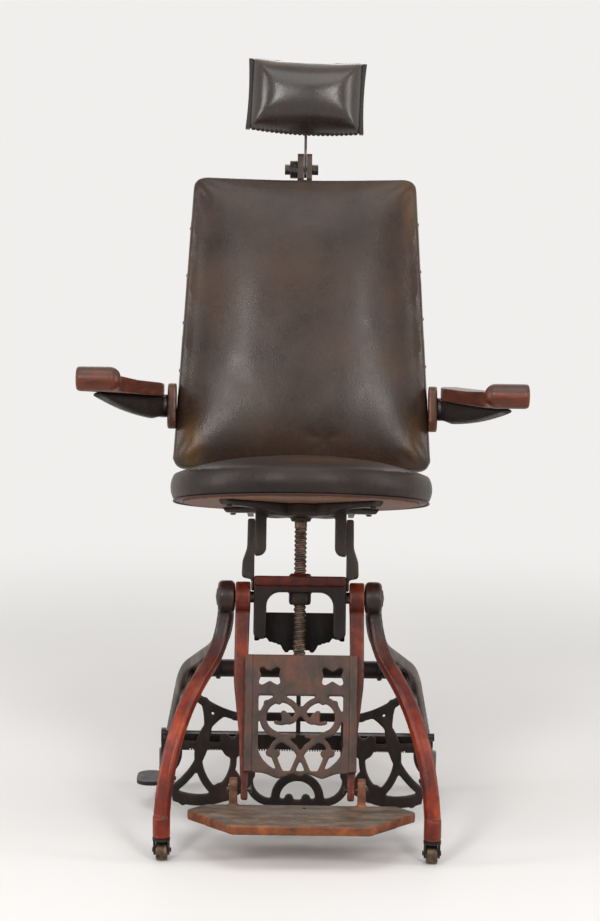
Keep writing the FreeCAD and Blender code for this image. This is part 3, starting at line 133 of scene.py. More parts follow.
def deselectAll():
    if bpy.context.object and bpy.context.object.mode != "OBJECT":
        bpy.ops.object.mode_set(mode="OBJECT")
    bpy.ops.object.select_all(action="DESELECT")


def makeActive(piece):
    deselectAll()
    piece.select_set(True)
    bpy.context.view_layer.objects.active = piece


def settle(piece, matrix=None):
    # the place goes into the mesh, so the object sits at the origin
    bpy.context.view_layer.update()
    piece.data.transform((matrix or Matrix.Identity(4)) @ piece.matrix_world)
    piece.matrix_world = Matrix.Identity(4)
    piece.data.update()


def paint(piece, material, smooth):
    piece.data.materials.clear()
    piece.data.materials.append(material)
    makeActive(piece)
    bpy.ops.object.shade_smooth_by_angle(angle=math.radians(smooth))


def applyModifiers(piece):
    makeActive(piece)
    for modifier in list(piece.modifiers):
        bpy.ops.object.modifier_apply(modifier=modifier.name)


def joinPieces(pieces, name):
    deselectAll()
    for piece in pieces:
        piece.select_set(True)
    bpy.context.view_layer.objects.active = pieces[0]
    if len(pieces) > 1:
        bpy.ops.object.join()
    joined = bpy.context.view_layer.objects.active
    joined.name = name
    joined.data.name = name
    return joined


def copyPiece(piece, name, matrix=None):
    twin = bpy.data.objects.new(name, piece.data.copy())
    bpy.context.scene.collection.objects.link(twin)
    if matrix:
        twin.data.transform(matrix)
    return twin


def copyNode(nodeName, name):
    # a CAD node's loose triangles, merged into one skin
    piece = copyPiece(nodes[nodeName], name)
    piece.data.materials.clear()
    makeActive(piece)
    bpy.ops.object.mode_set(mode="EDIT")
    bpy.ops.mesh.select_all(action="SELECT")
    bpy.ops.mesh.remove_doubles(threshold=0.02 * mm)
    bpy.ops.object.mode_set(mode="OBJECT")
    return piece


def remeshPiece(piece, voxel, smoothing):
    remesh = piece.modifiers.new("voxels", "REMESH")
    remesh.mode = "VOXEL"
    remesh.voxel_size = voxel * mm
    smooth = piece.modifiers.new("smooth", "SMOOTH")
    smooth.factor = 0.5
    smooth.iterations = smoothing
    applyModifiers(piece)


def pushOut(piece, distance, free=None):
    outward = [vertex.normal.copy() for vertex in piece.data.vertices]
    for index, vertex in enumerate(piece.data.vertices):
        if free is None or free[index]:
            vertex.co += outward[index] * distance * mm


def camelName(nodeName):
    first, *rest = nodeName.split("_")
    return first + "".join(word.capitalize() for word in rest)


# materials: each Scale is 1000 / the pattern's size in millimetres

hideLook = {"dark": "#291c15", "body": "#3a2a20", "rub": "#453322", "grain": 2.2, "crease": 34.0, "rough": 0.28,
            "gloss": 0.32}


def waxedCowhide(name, look):
    # old waxed cowhide: dark brown, browner where rubbed, fine pebbled grain and a satin shine
    material, tree, place = startMaterial(name)
    broad = addNode(tree, "TexNoise", {"Vector": place, "Scale": 1000 / 170, "Detail": 4.0, "Roughness": 0.6})
    color = addNode(tree, "ValToRGB", {"Fac": broad},
                    stops=[(0.32, look["dark"]), (0.52, look["body"]), (0.72, look["rub"])])
    fine = addNode(tree, "TexNoise", {"Vector": place, "Scale": 1000 / 7, "Detail": 3.0})
    speckle = addNode(tree, "ValToRGB", {"Fac": fine}, stops=[(0.35, 0.8), (0.7, 1.0)])
    color = addNode(tree, "Mix", {0: 1.0, "A": color, "B": speckle}, "Result", data_type="RGBA",
                    blend_type="MULTIPLY")
    rubbed = addNode(tree, "Attribute", out="Fac", attribute_name="worn")
    patches = addNode(tree, "TexNoise", {"Vector": place, "Scale": 1000 / 24, "Detail": 4.0})
    rubbed = addNode(tree, "Math", {0: rubbed, 1: patches}, operation="MULTIPLY")
    color = addNode(tree, "Mix", {0: rubbed, "A": color, "B": hexColor("#6b4a24")}, "Result", data_type="RGBA")
    pebble = addNode(tree, "TexVoronoi", {"Vector": place, "Scale": 1000 / look["grain"]}, feature="SMOOTH_F1")
    pulled = addNode(tree, "Mapping", {"Vector": place, "Scale": (1.0, 1.0, 0.3)})
    creases = addNode(tree, "TexNoise", {"Vector": pulled, "Scale": 1000 / look["crease"], "Detail": 7.0,
                                         "Roughness": 0.64, "Distortion": 0.7})
    normal = addNode(tree, "Bump", {"Height": pebble, "Strength": 0.22, "Distance": 0.0008})
    normal = addNode(tree, "Bump", {"Height": creases, "Strength": 0.09, "Distance": 0.003, "Normal": normal})
    dull = addNode(tree, "TexNoise", {"Vector": place, "Scale": 1000 / 60, "Detail": 4.0})
    rough = addNode(tree, "ValToRGB", {"Fac": dull},
                    stops=[(0.3, look["rough"] + 0.08), (0.7, look["rough"] - 0.03)])
    finishMaterial(tree, {"Base Color": color, "Roughness": rough, "IOR": 1.5, "Specular IOR Level": look["gloss"],
                          "Normal": normal})
    return material


ironLook = {"edge": "#8a553c", "wear": 0.5, "rough": 0.42, "shine": 0.34, "skin": 0.2, "lower": None,
            "split": (0.25, 0.36)}


def wornPaintedIron(name, colors, **changes):
    # cast iron under old paint: coats showing through, rubbed edges, sand-cast skin and dull shine
    look = {**ironLook, **changes}
    material, tree, place = startMaterial(name)
    broad = addNode(tree, "TexNoise", {"Vector": place, "Scale": 1000 / 85, "Detail": 5.0, "Roughness": 0.65,
                                       "Distortion": 0.4})
    upright = addNode(tree, "Mapping", {"Vector": place, "Scale": (1.0, 1.0, 0.35)})
    streaks = addNode(tree, "TexNoise", {"Vector": upright, "Scale": 1000 / 22, "Detail": 5.0, "Roughness": 0.7})
    blend = addNode(tree, "Mix", {0: 0.42, 2: broad, 3: streaks}, data_type="FLOAT")
    color = addNode(tree, "ValToRGB", {"Fac": blend}, stops=list(zip((0.36, 0.5, 0.64), colors)))
    # below the split height a second palette takes over; the yoke uses it for painted shade on its underside
    if look["lower"]:
        low = addNode(tree, "ValToRGB", {"Fac": blend}, stops=list(zip((0.36, 0.5, 0.64), look["lower"])))
        height = addNode(tree, "SeparateXYZ", {"Vector": place}, "Z")
        bottom, top = look["split"]
        above = addNode(tree, "MapRange", {"Value": height, "From Min": bottom, "From Max": top})
        color = addNode(tree, "Mix", {0: above, "A": low, "B": color}, "Result", data_type="RGBA")
    proud = addNode(tree, "Attribute", out="Fac", attribute_name="worn")
    grit = addNode(tree, "TexNoise", {"Vector": place, "Scale": 1000 / 13, "Detail": 4.0, "Roughness": 0.65})
    patches = addNode(tree, "ValToRGB", {"Fac": grit}, stops=[(0.4, 0.0), (0.62, look["wear"])])
    rubbed = addNode(tree, "Math", {0: proud, 1: patches}, operation="MULTIPLY")
    color = addNode(tree, "Mix", {0: rubbed, "A": color, "B": hexColor(look["edge"])}, "Result", data_type="RGBA")
    specks = addNode(tree, "TexNoise", {"Vector": place, "Scale": 1000 / 5, "Detail": 4.0, "Roughness": 0.7})
    chips = addNode(tree, "ValToRGB", {"Fac": specks}, stops=[(0.68, 0.0), (0.73, look["wear"] * 0.8)])
    color = addNode(tree, "Mix", {0: chips, "A": color, "B": hexColor(look["edge"])}, "Result", data_type="RGBA")
    sand = addNode(tree, "TexNoise", {"Vector": place, "Scale": 1000 / 2.5, "Detail": 3.0})
    normal = addNode(tree, "Bump", {"Height": sand, "Strength": look["skin"], "Distance": 0.0007})
    dull = addNode(tree, "ValToRGB", {"Fac": streaks},
                   stops=[(0.3, look["rough"] + 0.14), (0.7, look["rough"] - 0.08)])
    finishMaterial(tree, {"Base Color": color, "Roughness": dull, "IOR": 1.5, "Specular IOR Level": look["shine"],
                          "Normal": normal})
    return material


def wornTread(name, rim, top, lug):
    # a cast tread: paint walked off to grey iron on top, orange-brown along the rim, coppery lugs
    material, tree, place = startMaterial(name)
    spread = addNode(tree, "Mapping", {"Vector": place, "Scale": (0.6, 1.6, 1.0)})
    cloud = addNode(tree, "TexNoise", {"Vector": spread, "Scale": 1000 / 24, "Detail": 6.0, "Roughness": 0.7})
    bands = [addNode(tree, "ValToRGB", {"Fac": cloud}, stops=list(zip((0.34, 0.52, 0.7), colors)))
             for colors in (rim, top, lug)]
    topped = addNode(tree, "Attribute", out="Fac", attribute_name="topped")
    raised = addNode(tree, "Attribute", out="Fac", attribute_name="raised")
    color = addNode(tree, "Mix", {0: topped, "A": bands[0], "B": bands[1]}, "Result", data_type="RGBA")
    color = addNode(tree, "Mix", {0: raised, "A": color, "B": bands[2]}, "Result", data_type="RGBA")
    scuffs = addNode(tree, "TexNoise", {"Vector": place, "Scale": 1000 / 4, "Detail": 5.0, "Roughness": 0.7})
    normal = addNode(tree, "Bump", {"Height": scuffs, "Strength": 0.35, "Distance": 0.0012})
    finishMaterial(tree, {"Base Color": color, "Roughness": 0.48, "IOR": 1.5, "Specular IOR Level": 0.4,
                          "Normal": normal})
    return material


def oldMahogany(name, colors, grey):
    # polished mahogany with long straight figure, greyed where hands have rubbed the polish away
    material, tree, place = startMaterial(name)
    along = addNode(tree, "Mapping", {"Vector": place, "Scale": (0.16, 0.12, 1.0)})
    figure = addNode(tree, "TexNoise", {"Vector": along, "Scale": 1000 / 9, "Detail": 6.0, "Roughness": 0.6,
                                        "Distortion": 0.3})
    color = addNode(tree, "ValToRGB", {"Fac": figure}, stops=list(zip((0.3, 0.52, 0.72), colors)))
    handled = addNode(tree, "Attribute", out="Fac", attribute_name="rubbed")
    cloud = addNode(tree, "TexNoise", {"Vector": place, "Scale": 1000 / 30, "Detail": 4.0})
    patch = addNode(tree, "ValToRGB", {"Fac": cloud}, stops=[(0.3, 0.5), (0.6, 1.0)])
    handled = addNode(tree, "Math", {0: handled, 1: patch}, operation="MULTIPLY")
    color = addNode(tree, "Mix", {0: handled, "A": color, "B": hexColor(grey)}, "Result", data_type="RGBA")
    pores = addNode(tree, "TexNoise", {"Vector": along, "Scale": 1000 / 1.6, "Detail": 2.0})
    normal = addNode(tree, "Bump", {"Height": pores, "Strength": 0.12, "Distance": 0.0004})
    finishMaterial(tree, {"Base Color": color, "Roughness": 0.36, "IOR": 1.5, "Specular IOR Level": 0.36,
                          "Normal": normal})
    return material


def plainBoard(name, colors):
    # planed boards: straight grain, matt
    material, tree, place = startMaterial(name)
    along = addNode(tree, "Mapping", {"Vector": place, "Scale": (0.06, 1.0, 1.0)})
    figure = addNode(tree, "TexNoise", {"Vector": along, "Scale": 1000 / 11, "Detail": 6.0, "Roughness": 0.6,
                                        "Distortion": 0.35})
    color = addNode(tree, "ValToRGB", {"Fac": figure}, stops=list(zip((0.3, 0.55, 0.75), colors)))
    normal = addNode(tree, "Bump", {"Height": figure, "Strength": 0.12, "Distance": 0.0006})
    finishMaterial(tree, {"Base Color": color, "Roughness": 0.6, "IOR": 1.5, "Normal": normal})
    return material


def oiledMetal(name, colors, metallic=0.8, rough=0.38):
    # turned metal darkened by oil, brighter where it rubs
    material, tree, place = startMaterial(name)
    cloud = addNode(tree, "TexNoise", {"Vector": place, "Scale": 1000 / 14, "Detail": 5.0, "Roughness": 0.65})
    color = addNode(tree, "ValToRGB", {"Fac": cloud}, stops=list(zip((0.35, 0.52, 0.7), colors)))
    dull = addNode(tree, "ValToRGB", {"Fac": cloud}, stops=[(0.3, rough + 0.16), (0.7, rough - 0.06)])
    finishMaterial(tree, {"Base Color": color, "Metallic": metallic, "Roughness": dull})
    return material


cowhide = waxedCowhide("waxedCowhide", hideLook)
# the seat gets a darker copy of the same hide: painted shade standing in for the shade on its band
seatHidePaintedShade = waxedCowhide("seatCowhidePaintedShade", {**hideLook, "dark": "#1a1311", "body": "#2b201c", "rub": "#3a2a1f",
                                       "rough": 0.38, "gloss": 0.26})
headHide = waxedCowhide("headrestCowhide", {**hideLook, "dark": "#1f1714", "body": "#302520", "rub": "#3f2e20",
                                            "rough": 0.25, "gloss": 0.6})
edgeHide = waxedCowhide("foldedHideEdge", {**hideLook, "dark": "#141011", "body": "#1e1717", "rub": "#281d19",
                                           "rough": 0.42})
redHide = waxedCowhide("russetWelt", {**hideLook, "dark": "#2a130d", "body": "#3d1d12", "rub": "#4c2816",
                                      "rough": 0.45})
# the legs are dark above 0.36 m and oxblood below 0.25 m
legIron = wornPaintedIron("oxbloodLegs", ["#120d0c", "#241613", "#412118"], rough=0.3, wear=0.6, shine=0.32,
                          lower=["#380f06", "#6b1d09", "#9b3c17"])
# the rear legs' grey is a painted sheen, the light from above reflected off their glossy tops; the rusty edge colour
# is wear
rearIron = wornPaintedIron("rearLegsPaintedSheen", ["#2a2421", "#4a413b", "#6b6058"], edge="#8a5f45", wear=0.8, rough=0.34,
                           shine=0.5)
barIron = wornPaintedIron("oxbloodBars", ["#260e08", "#501a0e", "#803218"], edge="#9a6144", rough=0.34,
                          shine=0.24)
# the yoke is oxblood above 0.444 m and near-black below 0.438 m; the near-black lower palette is painted shade on its
# underside
yokeIron = wornPaintedIron("blackYoke", ["#1e0c09", "#3e140d", "#632416"], edge="#6e3c2b", wear=0.35, shine=0.16,
                           lower=["#0c0908", "#15100e", "#251915"], split=(0.438, 0.444))
darkIron = wornPaintedIron("blackenedIron", ["#0e0b0a", "#1d1512", "#33211a"], edge="#553a2c", wear=0.4,
                           shine=0.26)
# the valance's iron is coloured almost black and dull
valanceIron = wornPaintedIron("nearBlackValanceIron", ["#080706", "#110d0b", "#1c1411"], edge="#1d1512", wear=0.3, rough=0.6,
                              shine=0.12)
panelIron = wornPaintedIron("brownedPanel", ["#261b16", "#3f2d23", "#5c3220"], edge="#6e4d3b", wear=0.5,
                            rough=0.46)
copperIron = wornPaintedIron("copperedPlate", ["#2a1912", "#46281b", "#663c25"], edge="#9a653d", wear=0.7,
                             rough=0.34)
clampIron = wornPaintedIron("brownedClamp", ["#1e1714", "#3a2b23", "#5e4030"], edge="#7a5a45", wear=0.5,
                            rough=0.4)
treadIron = wornTread("wornTread", ["#3f1f10", "#733a17", "#9a5424"], ["#3a2e25", "#665446", "#8a7563"],
                      ["#4a2f22", "#744730", "#9c6644"])
mahogany = oldMahogany("oldMahogany", ["#341508", "#582410", "#783817"], "#3f3029")
bareBoard = plainBoard("bareBoard", ["#573624", "#744c36", "#8a6248"])
darkBoard = plainBoard("stainedBoard", ["#2b1d16", "#3d2a1f", "#503829"])
screwSteel = oiledMetal("screwSteel", ["#2b211c", "#4d3c32", "#7a6048"], metallic=0.55, rough=0.4)
boltSteel = oiledMetal("boltSteel", ["#1a1715", "#3a342f", "#6a6058"], rough=0.42)
casterBrass = oiledMetal("casterBrass", ["#2e261e", "#5b4c3c", "#8c7654"], rough=0.45)
hornIron = oiledMetal("polishedHorn", ["#1d1a18", "#24201e", "#2c2724"], metallic=0.25, rough=0.3)
tackSteel = oiledMetal("tackSteel", ["#181412", "#2c2521", "#483d35"], rough=0.36)
print("materials ready")

corners = [f"{end}_{side}" for end in ("front", "rear") for side in ("left", "right")]
finishes = [
    (darkIron, ["toothed_stretcher", "cross_tube", "tilt_quadrant", "back_bracket_left", "back_bracket_right",
                "back_strap_left", "back_strap_right", "lock_pedal", "lock_lever", "head_socket", "spider_screws"]
     + [f"caster_fork_{corner}" for corner in corners]),
    (clampIron, ["head_post"]),
    (bareBoard, ["seat_board"]),
    (darkBoard, ["back_board", "headrest_board"]),
    (boltSteel, ["trunnions", "stretcher_bolts", "recline_rod", "post_thumbscrew", "clamp_bolt",
                 "head_blade", "footplate_pins"] + [f"caster_pin_{corner}" for corner in corners]),
    (casterBrass, [f"caster_wheel_{corner}" for corner in corners]),
]
for material, names in finishes:
    for name in names:
        for slot in nodes[name].material_slots:
            slot.material = material
print("plain castings painted")


# castings with soft sand-cast edges, worn where they stand proud

wearSpec = {"radius": 2.5, "gain": 2, "flat": 0.25}


def edgeWear(piece, spec):
    # how far the skin bends outward at each point, as a share of a sharp edge
    mesh = piece.data
    count = len(mesh.vertices)
    places = np.empty(count * 3)
    mesh.vertices.foreach_get("co", places)
    normals = np.empty(count * 3)
    mesh.vertex_normals.foreach_get("vector", normals)
    ends = np.empty(len(mesh.edges) * 2, dtype=np.int32)
    mesh.edges.foreach_get("vertices", ends)
    places, normals, ends = places.reshape(-1, 3), normals.reshape(-1, 3), ends.reshape(-1, 2)
    along = places[ends[:, 1]] - places[ends[:, 0]]
    turn = normals[ends[:, 1]] - normals[ends[:, 0]]
    bend = (along * turn).sum(axis=1) / np.maximum((along * along).sum(axis=1), 1e-12)
    total = np.zeros(count)
    for end in (0, 1):
        np.add.at(total, ends[:, end], bend)
    tally = np.bincount(ends.ravel(), minlength=count)
    average = total / np.maximum(tally, 1)
    worn = np.clip(average * spec["radius"] * mm * spec["gain"] - spec["flat"], 0, 1)
    attribute = mesh.attributes.new("worn", "FLOAT", "POINT")
    attribute.data.foreach_set("value", worn.astype(np.float32))


def castPiece(nodeName, material, voxel, smoothing, own=Matrix.Identity(4), swelling=0.0):
    # the skin is rebuilt square to the casting's own frame, so flat faces stay flat
    piece = copyNode(nodeName, camelName(nodeName) + "Cast")
    piece.data.transform(own.inverted())
    remeshPiece(piece, voxel, smoothing)
    pushOut(piece, swelling)
    piece.data.transform(own)
    edgeWear(piece, wearSpec)
    paint(piece, material, 50)
    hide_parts(nodeName)
    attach(piece, bodyOf[nodeName])
    return piece


castings = [
    (legIron, 2.2, 6, ["front_leg_left", "front_leg_right"]),
    (rearIron, 2.2, 6, ["rear_leg_left", "rear_leg_right"]),
    (barIron, 1.8, 6, ["foot_bar_left", "foot_bar_right"]),
    (panelIron, 1.5, 5, ["foot_panel"]),
    (darkIron, 1.8, 5, ["cross_panel", "side_panel_left", "side_panel_right"]),
    (darkIron, 1.8, 5, ["guide_bar_left", "guide_bar_right", "seat_spider"]),
    (yokeIron, 1.8, 6, ["yoke"]),
    (valanceIron, 1.4, 2, ["yoke_valance"]),
]
for material, voxel, smoothing, names in castings:
    for name in names:
        castPiece(name, material, voxel, smoothing)


def reshape(piece, own, change):
    # every point is moved in the casting's own frame
    piece.data.transform(own.inverted())
    for vertex in piece.data.vertices:
        vertex.co = change(vertex.co)
    piece.data.transform(own)
    piece.data.update()


hornSpec = {"length": 330.0, "along": (-330, -211, -176, -60, 8), "low": (-7, -14, -16, -22, -20),
            "high": (1, 9, 11, 15, 17), "middle": 9.0, "eye": -24.0, "ease": 30, "roundness": 0.8, "belly": 7.0,
            "voxel": 1.5, "smoothing": 20, "swelling": 0.8}


def hornShape(point, sign, spec):
    # round in section and bellied below, flat only at the eye
    p = point / mm
    low = float(np.interp(p.y, spec["along"], spec["low"]))
    high = float(np.interp(p.y, spec["along"], spec["high"]))
    level = max(-1.0, min(1.0, (2 * p.z - low - high) / (high - low)))
    beyond = clamp((spec["eye"] - p.y) / spec["ease"])
    middle = sign * spec["middle"]
    narrow = 1 - beyond * (1 - math.sqrt(1 - spec["roundness"] * level * level))
    share = clamp(-p.y / spec["length"])
    belly = spec["belly"] * 4 * share * (1 - share) * clamp(0.5 - level / 2) * beyond
    return Vector((middle + (p.x - middle) * narrow, p.y, p.z - belly)) * mm


def plateShape(point, outer):
    # the inner face is drawn in until it reaches the cushion
    if abs(point.x) >= abs(outer):
        return point
    return Vector((outer - (outer - point.x) * armSpec["plate"], point.y, point.z))


for side in ("left", "right"):
    sign = armSign(side)
    horn = castPiece("arm_bracket_" + side, hornIron, hornSpec["voxel"], hornSpec["smoothing"], hornFrame(side),
                     hornSpec["swelling"])
    reshape(horn, hornFrame(side), lambda point: hornShape(point, sign, hornSpec))
    plate = castPiece("arm_plate_" + side, copperIron, armSpec["plateVoxel"], armSpec["plateSmoothing"])
    reshape(plate, seatFrame, lambda point: plateShape(point, sign * armSpec["pivot"][0] * mm))

treadSpec = {"voxel": 2.0, "smoothing": 5, "level": 0.7, "steep": 4, "lugFoot": 82.0, "lugRise": 4}


def wornFootplate(spec):
    tread = castPiece("footplate", treadIron, spec["voxel"], spec["smoothing"])
    topped = [clamp((vertex.normal.z - spec["level"]) * spec["steep"]) for vertex in tread.data.vertices]
    raised = [clamp((vertex.co.z / mm - spec["lugFoot"]) / spec["lugRise"]) for vertex in tread.data.vertices]
    for name, values in (("topped", topped), ("raised", raised)):
        tread.data.attributes.new(name, "FLOAT", "POINT").data.foreach_set("value", values)


wornFootplate(treadSpec)
print("castings softened")


# leather pads, stuffed by cloth under pressure

stuffing = {"voxel": 6.0, "smoothing": 3, "shrink": 3.0, "cap": 7.0, "pressure": 4.0, "tension": 14.0, "bending": 3.0,
            "quality": 6, "mass": 0.4, "frames": 20, "ease": 2, "fill": 0.85, "mostRubbed": 0.9}


def swell(pad, spec, isHeld):
    # pressure fills the hide where nothing holds it, and no point goes further than the cap
    free = [not isHeld(vertex.co) for vertex in pad.data.vertices]
    pushOut(pad, -spec["shrink"], free)
    start = [vertex.co.copy() for vertex in pad.data.vertices]
    held = pad.vertex_groups.new(name="held")
    held.add([i for i, loose in enumerate(free) if not loose], 1.0, "REPLACE")
    cloth = pad.modifiers.new("stuffing", "CLOTH")
    cloth.settings.quality = spec["quality"]
    cloth.settings.mass = spec["mass"]
    cloth.settings.tension_stiffness = spec["tension"]
    cloth.settings.compression_stiffness = spec["tension"]
    cloth.settings.shear_stiffness = spec["tension"] / 3
    cloth.settings.bending_stiffness = spec["bending"]
    cloth.settings.use_pressure = True
    cloth.settings.uniform_pressure_force = spec["pressure"]
    cloth.settings.effector_weights.gravity = 0
    cloth.settings.vertex_group_mass = "held"
    cloth.collision_settings.use_collision = False
    scene = bpy.context.scene
    for step in range(spec["frames"]):
        scene.frame_set(step + 1)
    graph = bpy.context.evaluated_depsgraph_get()
    swollen = [vertex.co.copy() for vertex in pad.evaluated_get(graph).data.vertices]
    pad.modifiers.remove(cloth)
    scene.frame_set(1)
    cap = spec["cap"] * mm
    for vertex, before, after in zip(pad.data.vertices, start, swollen):
        move = after - before
        if move.length > cap:
            move *= cap / move.length
        vertex.co = before + move
    pad.vertex_groups.clear()


def dressPad(pad, spec, isFace, dress):
    # the face settles, takes its crown and folds, and the skin is rounded off
    face = pad.vertex_groups.new(name="face")
    face.add([v.index for v in pad.data.vertices if isFace(v.co)], 1.0, "REPLACE")
    settleFace = pad.modifiers.new("settle", "SMOOTH")
    settleFace.vertex_group = "face"
    settleFace.iterations = spec["settle"]
    ease = pad.modifiers.new("ease", "SMOOTH")
    ease.iterations = spec["ease"]
    applyModifiers(pad)
    pad.vertex_groups.clear()
    for vertex in pad.data.vertices:
        vertex.co = dress(vertex.co)
    rounder = pad.modifiers.new("rounder", "SUBSURF")
    rounder.levels = 1
    rounder.render_levels = 1
    applyModifiers(pad)


def hollowAt(u, v, centre, wide, high):
    return math.exp(-((u - centre[0] * mm) / (wide * mm)) ** 2 - ((v - centre[1] * mm) / (high * mm)) ** 2)


def rubbedAt(p, spec):
    # the hide is browner where it has been handled
    rubs = [share * hollowAt(p.x, p.z, *spot) for share, *spot in spec["rubs"]]
    return min(spec["mostRubbed"], sum(rubs))


def leatherPad(nodeName, name, own, spec, isHeld, isFace, dress, material):
    pad = copyNode(nodeName, name)
    pad.data.transform(own.inverted())
    remeshPiece(pad, spec["voxel"], spec["smoothing"])
    swell(pad, spec, isHeld)
    dressPad(pad, spec, isFace, dress)
    worn = pad.data.attributes.new("worn", "FLOAT", "POINT")
    worn.data.foreach_set("value", [rubbedAt(vertex.co, spec) for vertex in pad.data.vertices])
    pad.data.transform(own)
    pad.data.update()
    paint(pad, material, 60)
    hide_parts(nodeName)
    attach(pad, bodyOf[nodeName])
    print(name, "stuffed")


rippleSpec = {"broad": (7, 5, 0.3), "fine": (24, 10, 1.7), "share": 0.3}


def ripple(u, v, depth):
    # slack hide: broad waves, with finer ones on them
    broad, fine = [noise.noise(Vector((u * across, v * upward, layer))) * depth * mm
                   for across, upward, layer in (rippleSpec["broad"], rippleSpec["fine"])]
    return broad + fine * rippleSpec["share"]


def easeIn(value, first, over):
    # 0 up to the first place, 1 once past it by the second distance
    return clamp((value - first * mm) / (over * mm))


seatSpec = {**stuffing, "settle": 30, "held": 214.0, "face": 222.0, "faceRadius": 205.0, "brim": 210.0, "over": 20.0,
            "ripple": 1.2, "rubs": [(0.55, (30, 229), 70, 7)]}


def seatHeld(p):
    return p.z < seatSpec["held"] * mm


def onSeatFace(p):
    return p.z > seatSpec["face"] * mm and math.hypot(p.x, p.y) < seatSpec["faceRadius"] * mm


def seatDress(p):
    top = easeIn(p.z, seatSpec["brim"], seatSpec["over"])
    return Vector((p.x, p.y, p.z + top * ripple(p.x, p.y, seatSpec["ripple"])))


leatherPad("seat_cushion", "seatLeather", seatFrame, seatSpec, seatHeld, onSeatFace, seatDress, seatHidePaintedShade)

backSpec = {**stuffing, "settle": 40, "held": 16.0, "face": 12.0, "wide": (483.0, 423.0), "tall": 565.0, "roll": 42.0,
            "crown": 13.0, "front": 30.0, "over": 20.0, "ripple": 1.3, "dent": ((40, 54), 30, 24), "dentDepth": 2.0,
            "folds": 5, "foldDepth": 0.7, "foldFade": 30.0, "foldStart": 10.0,
            "rubs": [(1.0, (-206, 50), 20, 46), (0.6, (200, 500), 12, 60), (0.6, (208, 50), 16, 46)]}


def backEdge(z):
    low, high = backSpec["wide"]
    return (low + (high - low) * z / backSpec["tall"]) / 2


def backHeld(p):
    return p.y > backSpec["held"] * mm


def onBackFace(p):
    roll, x, z = backSpec["roll"], abs(p.x) / mm, p.z / mm
    return p.y < backSpec["face"] * mm and x < backEdge(z) - roll and roll < z < backSpec["tall"] - roll


def backDress(p):
    # the pad is crowned inside its rolled edge, and puckered low down where the seat rubs it
    spec = backSpec
    front = easeIn(-p.y, -spec["front"], spec["over"])
    across = p.x / mm / (backEdge(p.z / mm) - spec["roll"] / 2)
    upward = 2 * p.z / mm / spec["tall"] - 1
    crown = spec["crown"] * mm * max(0.0, 1 - across * across) * max(0.0, 1 - upward * upward)
    aside, above = p.x - spec["dent"][0][0] * mm, p.z - spec["dent"][0][1] * mm
    reach = math.hypot(aside, above)
    pucker = math.sin(math.atan2(above, aside) * spec["folds"]) * math.exp(-reach / (spec["foldFade"] * mm))
    pucker *= clamp(reach / (spec["foldStart"] * mm)) * spec["foldDepth"] * mm
    dent = spec["dentDepth"] * mm * hollowAt(p.x, p.z, *spec["dent"])
    return Vector((p.x, p.y + front * (dent + pucker - crown + ripple(p.x, p.z, spec["ripple"])), p.z))


leatherPad("back_cushion", "backLeather", backFrame, backSpec, backHeld, onBackFace, backDress, cowhide)

headSpec = {**stuffing, "voxel": 4.0, "shrink": 2.0, "cap": 8.0, "tension": 10.0, "bending": 1.0, "settle": 5,
            "held": -32.0, "face": -45.0, "half": 113.0, "flange": 4.0, "middle": 138.5, "rise": 70.0, "sag": 6.0,
            "front": -35.0, "over": 20.0, "crown": 12.0, "ripple": 0.8, "rubs": [(0.8, (-62, 196), 30, 9)]}


def headHeld(p):
    return p.y > headSpec["held"] * mm


def onHeadFace(p):
    return p.y < headSpec["face"] * mm


def headDress(p):
    # drawn in beside the flanges, hanging full at the bottom, crowned in the middle
    spec = headSpec
    narrow = (spec["half"] - spec["flange"]) / spec["half"]
    across = p.x / (spec["half"] * mm)
    upward = (p.z - spec["middle"] * mm) / (spec["rise"] * mm)
    bow = max(0.0, 1 - across * across)
    sag = spec["sag"] * mm * bow * clamp(-upward)
    crown = spec["crown"] * mm * bow * max(0.0, 1 - upward * upward)
    front = easeIn(-p.y, -spec["front"], spec["over"])
    return Vector((p.x * narrow, p.y - front * crown + ripple(p.x, p.z, spec["ripple"]), p.z - sag))


leatherPad("headrest_cushion", "headrestLeather", headrestFrame, headSpec, headHeld, onHeadFace, headDress, headHide)

flangeSpec = {"across": (105.0, 113.5), "deep": (-34.0, -18.0), "tall": (69.0, 204.0), "waist": 3.0, "edge": 4.0,
              "cuts": 7}


def headFlanges(spec):
    # a folded leather edge down each side of the pillow, drawn in at its waist
    ranges = (spec["across"], spec["deep"], spec["tall"])
    deselectAll()
    bpy.ops.mesh.primitive_cube_add(size=1)
    strip = bpy.context.object
    strip.scale = [(high - low) * mm for low, high in ranges]
    strip.location = [(low + high) / 2 * mm for low, high in ranges]
    middle, tall = strip.location.z, strip.scale.z
    settle(strip)
    bpy.ops.object.mode_set(mode="EDIT")
    bpy.ops.mesh.select_all(action="SELECT")
    bpy.ops.mesh.subdivide(number_cuts=spec["cuts"])
    bpy.ops.object.mode_set(mode="OBJECT")
    for vertex in strip.data.vertices:
        rise = (vertex.co.z - middle) / tall * 2
        vertex.co.x -= spec["waist"] * mm * (1 - rise * rise)
    edge = strip.modifiers.new("edge", "BEVEL")
    edge.width = spec["edge"] * mm
    edge.segments = 4
    edge.limit_method = "ANGLE"
    applyModifiers(strip)
    twin = copyPiece(strip, "twin", Matrix.Diagonal((-1, 1, 1, 1)))
    twin.data.flip_normals()
    flanges = joinPieces([strip, twin], "headrestFlanges")
    settle(flanges, headrestFrame)
    paint(flanges, edgeHide, 50)
    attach(flanges, "headrest")


headFlanges(flangeSpec)

scallopSpec = {"count": 23, "reach": 98.0, "radius": 4.8, "lobe": (1.0, 1.5, 0.8), "low": 71.0, "sag": 5.5,
               "depth": -27.0}


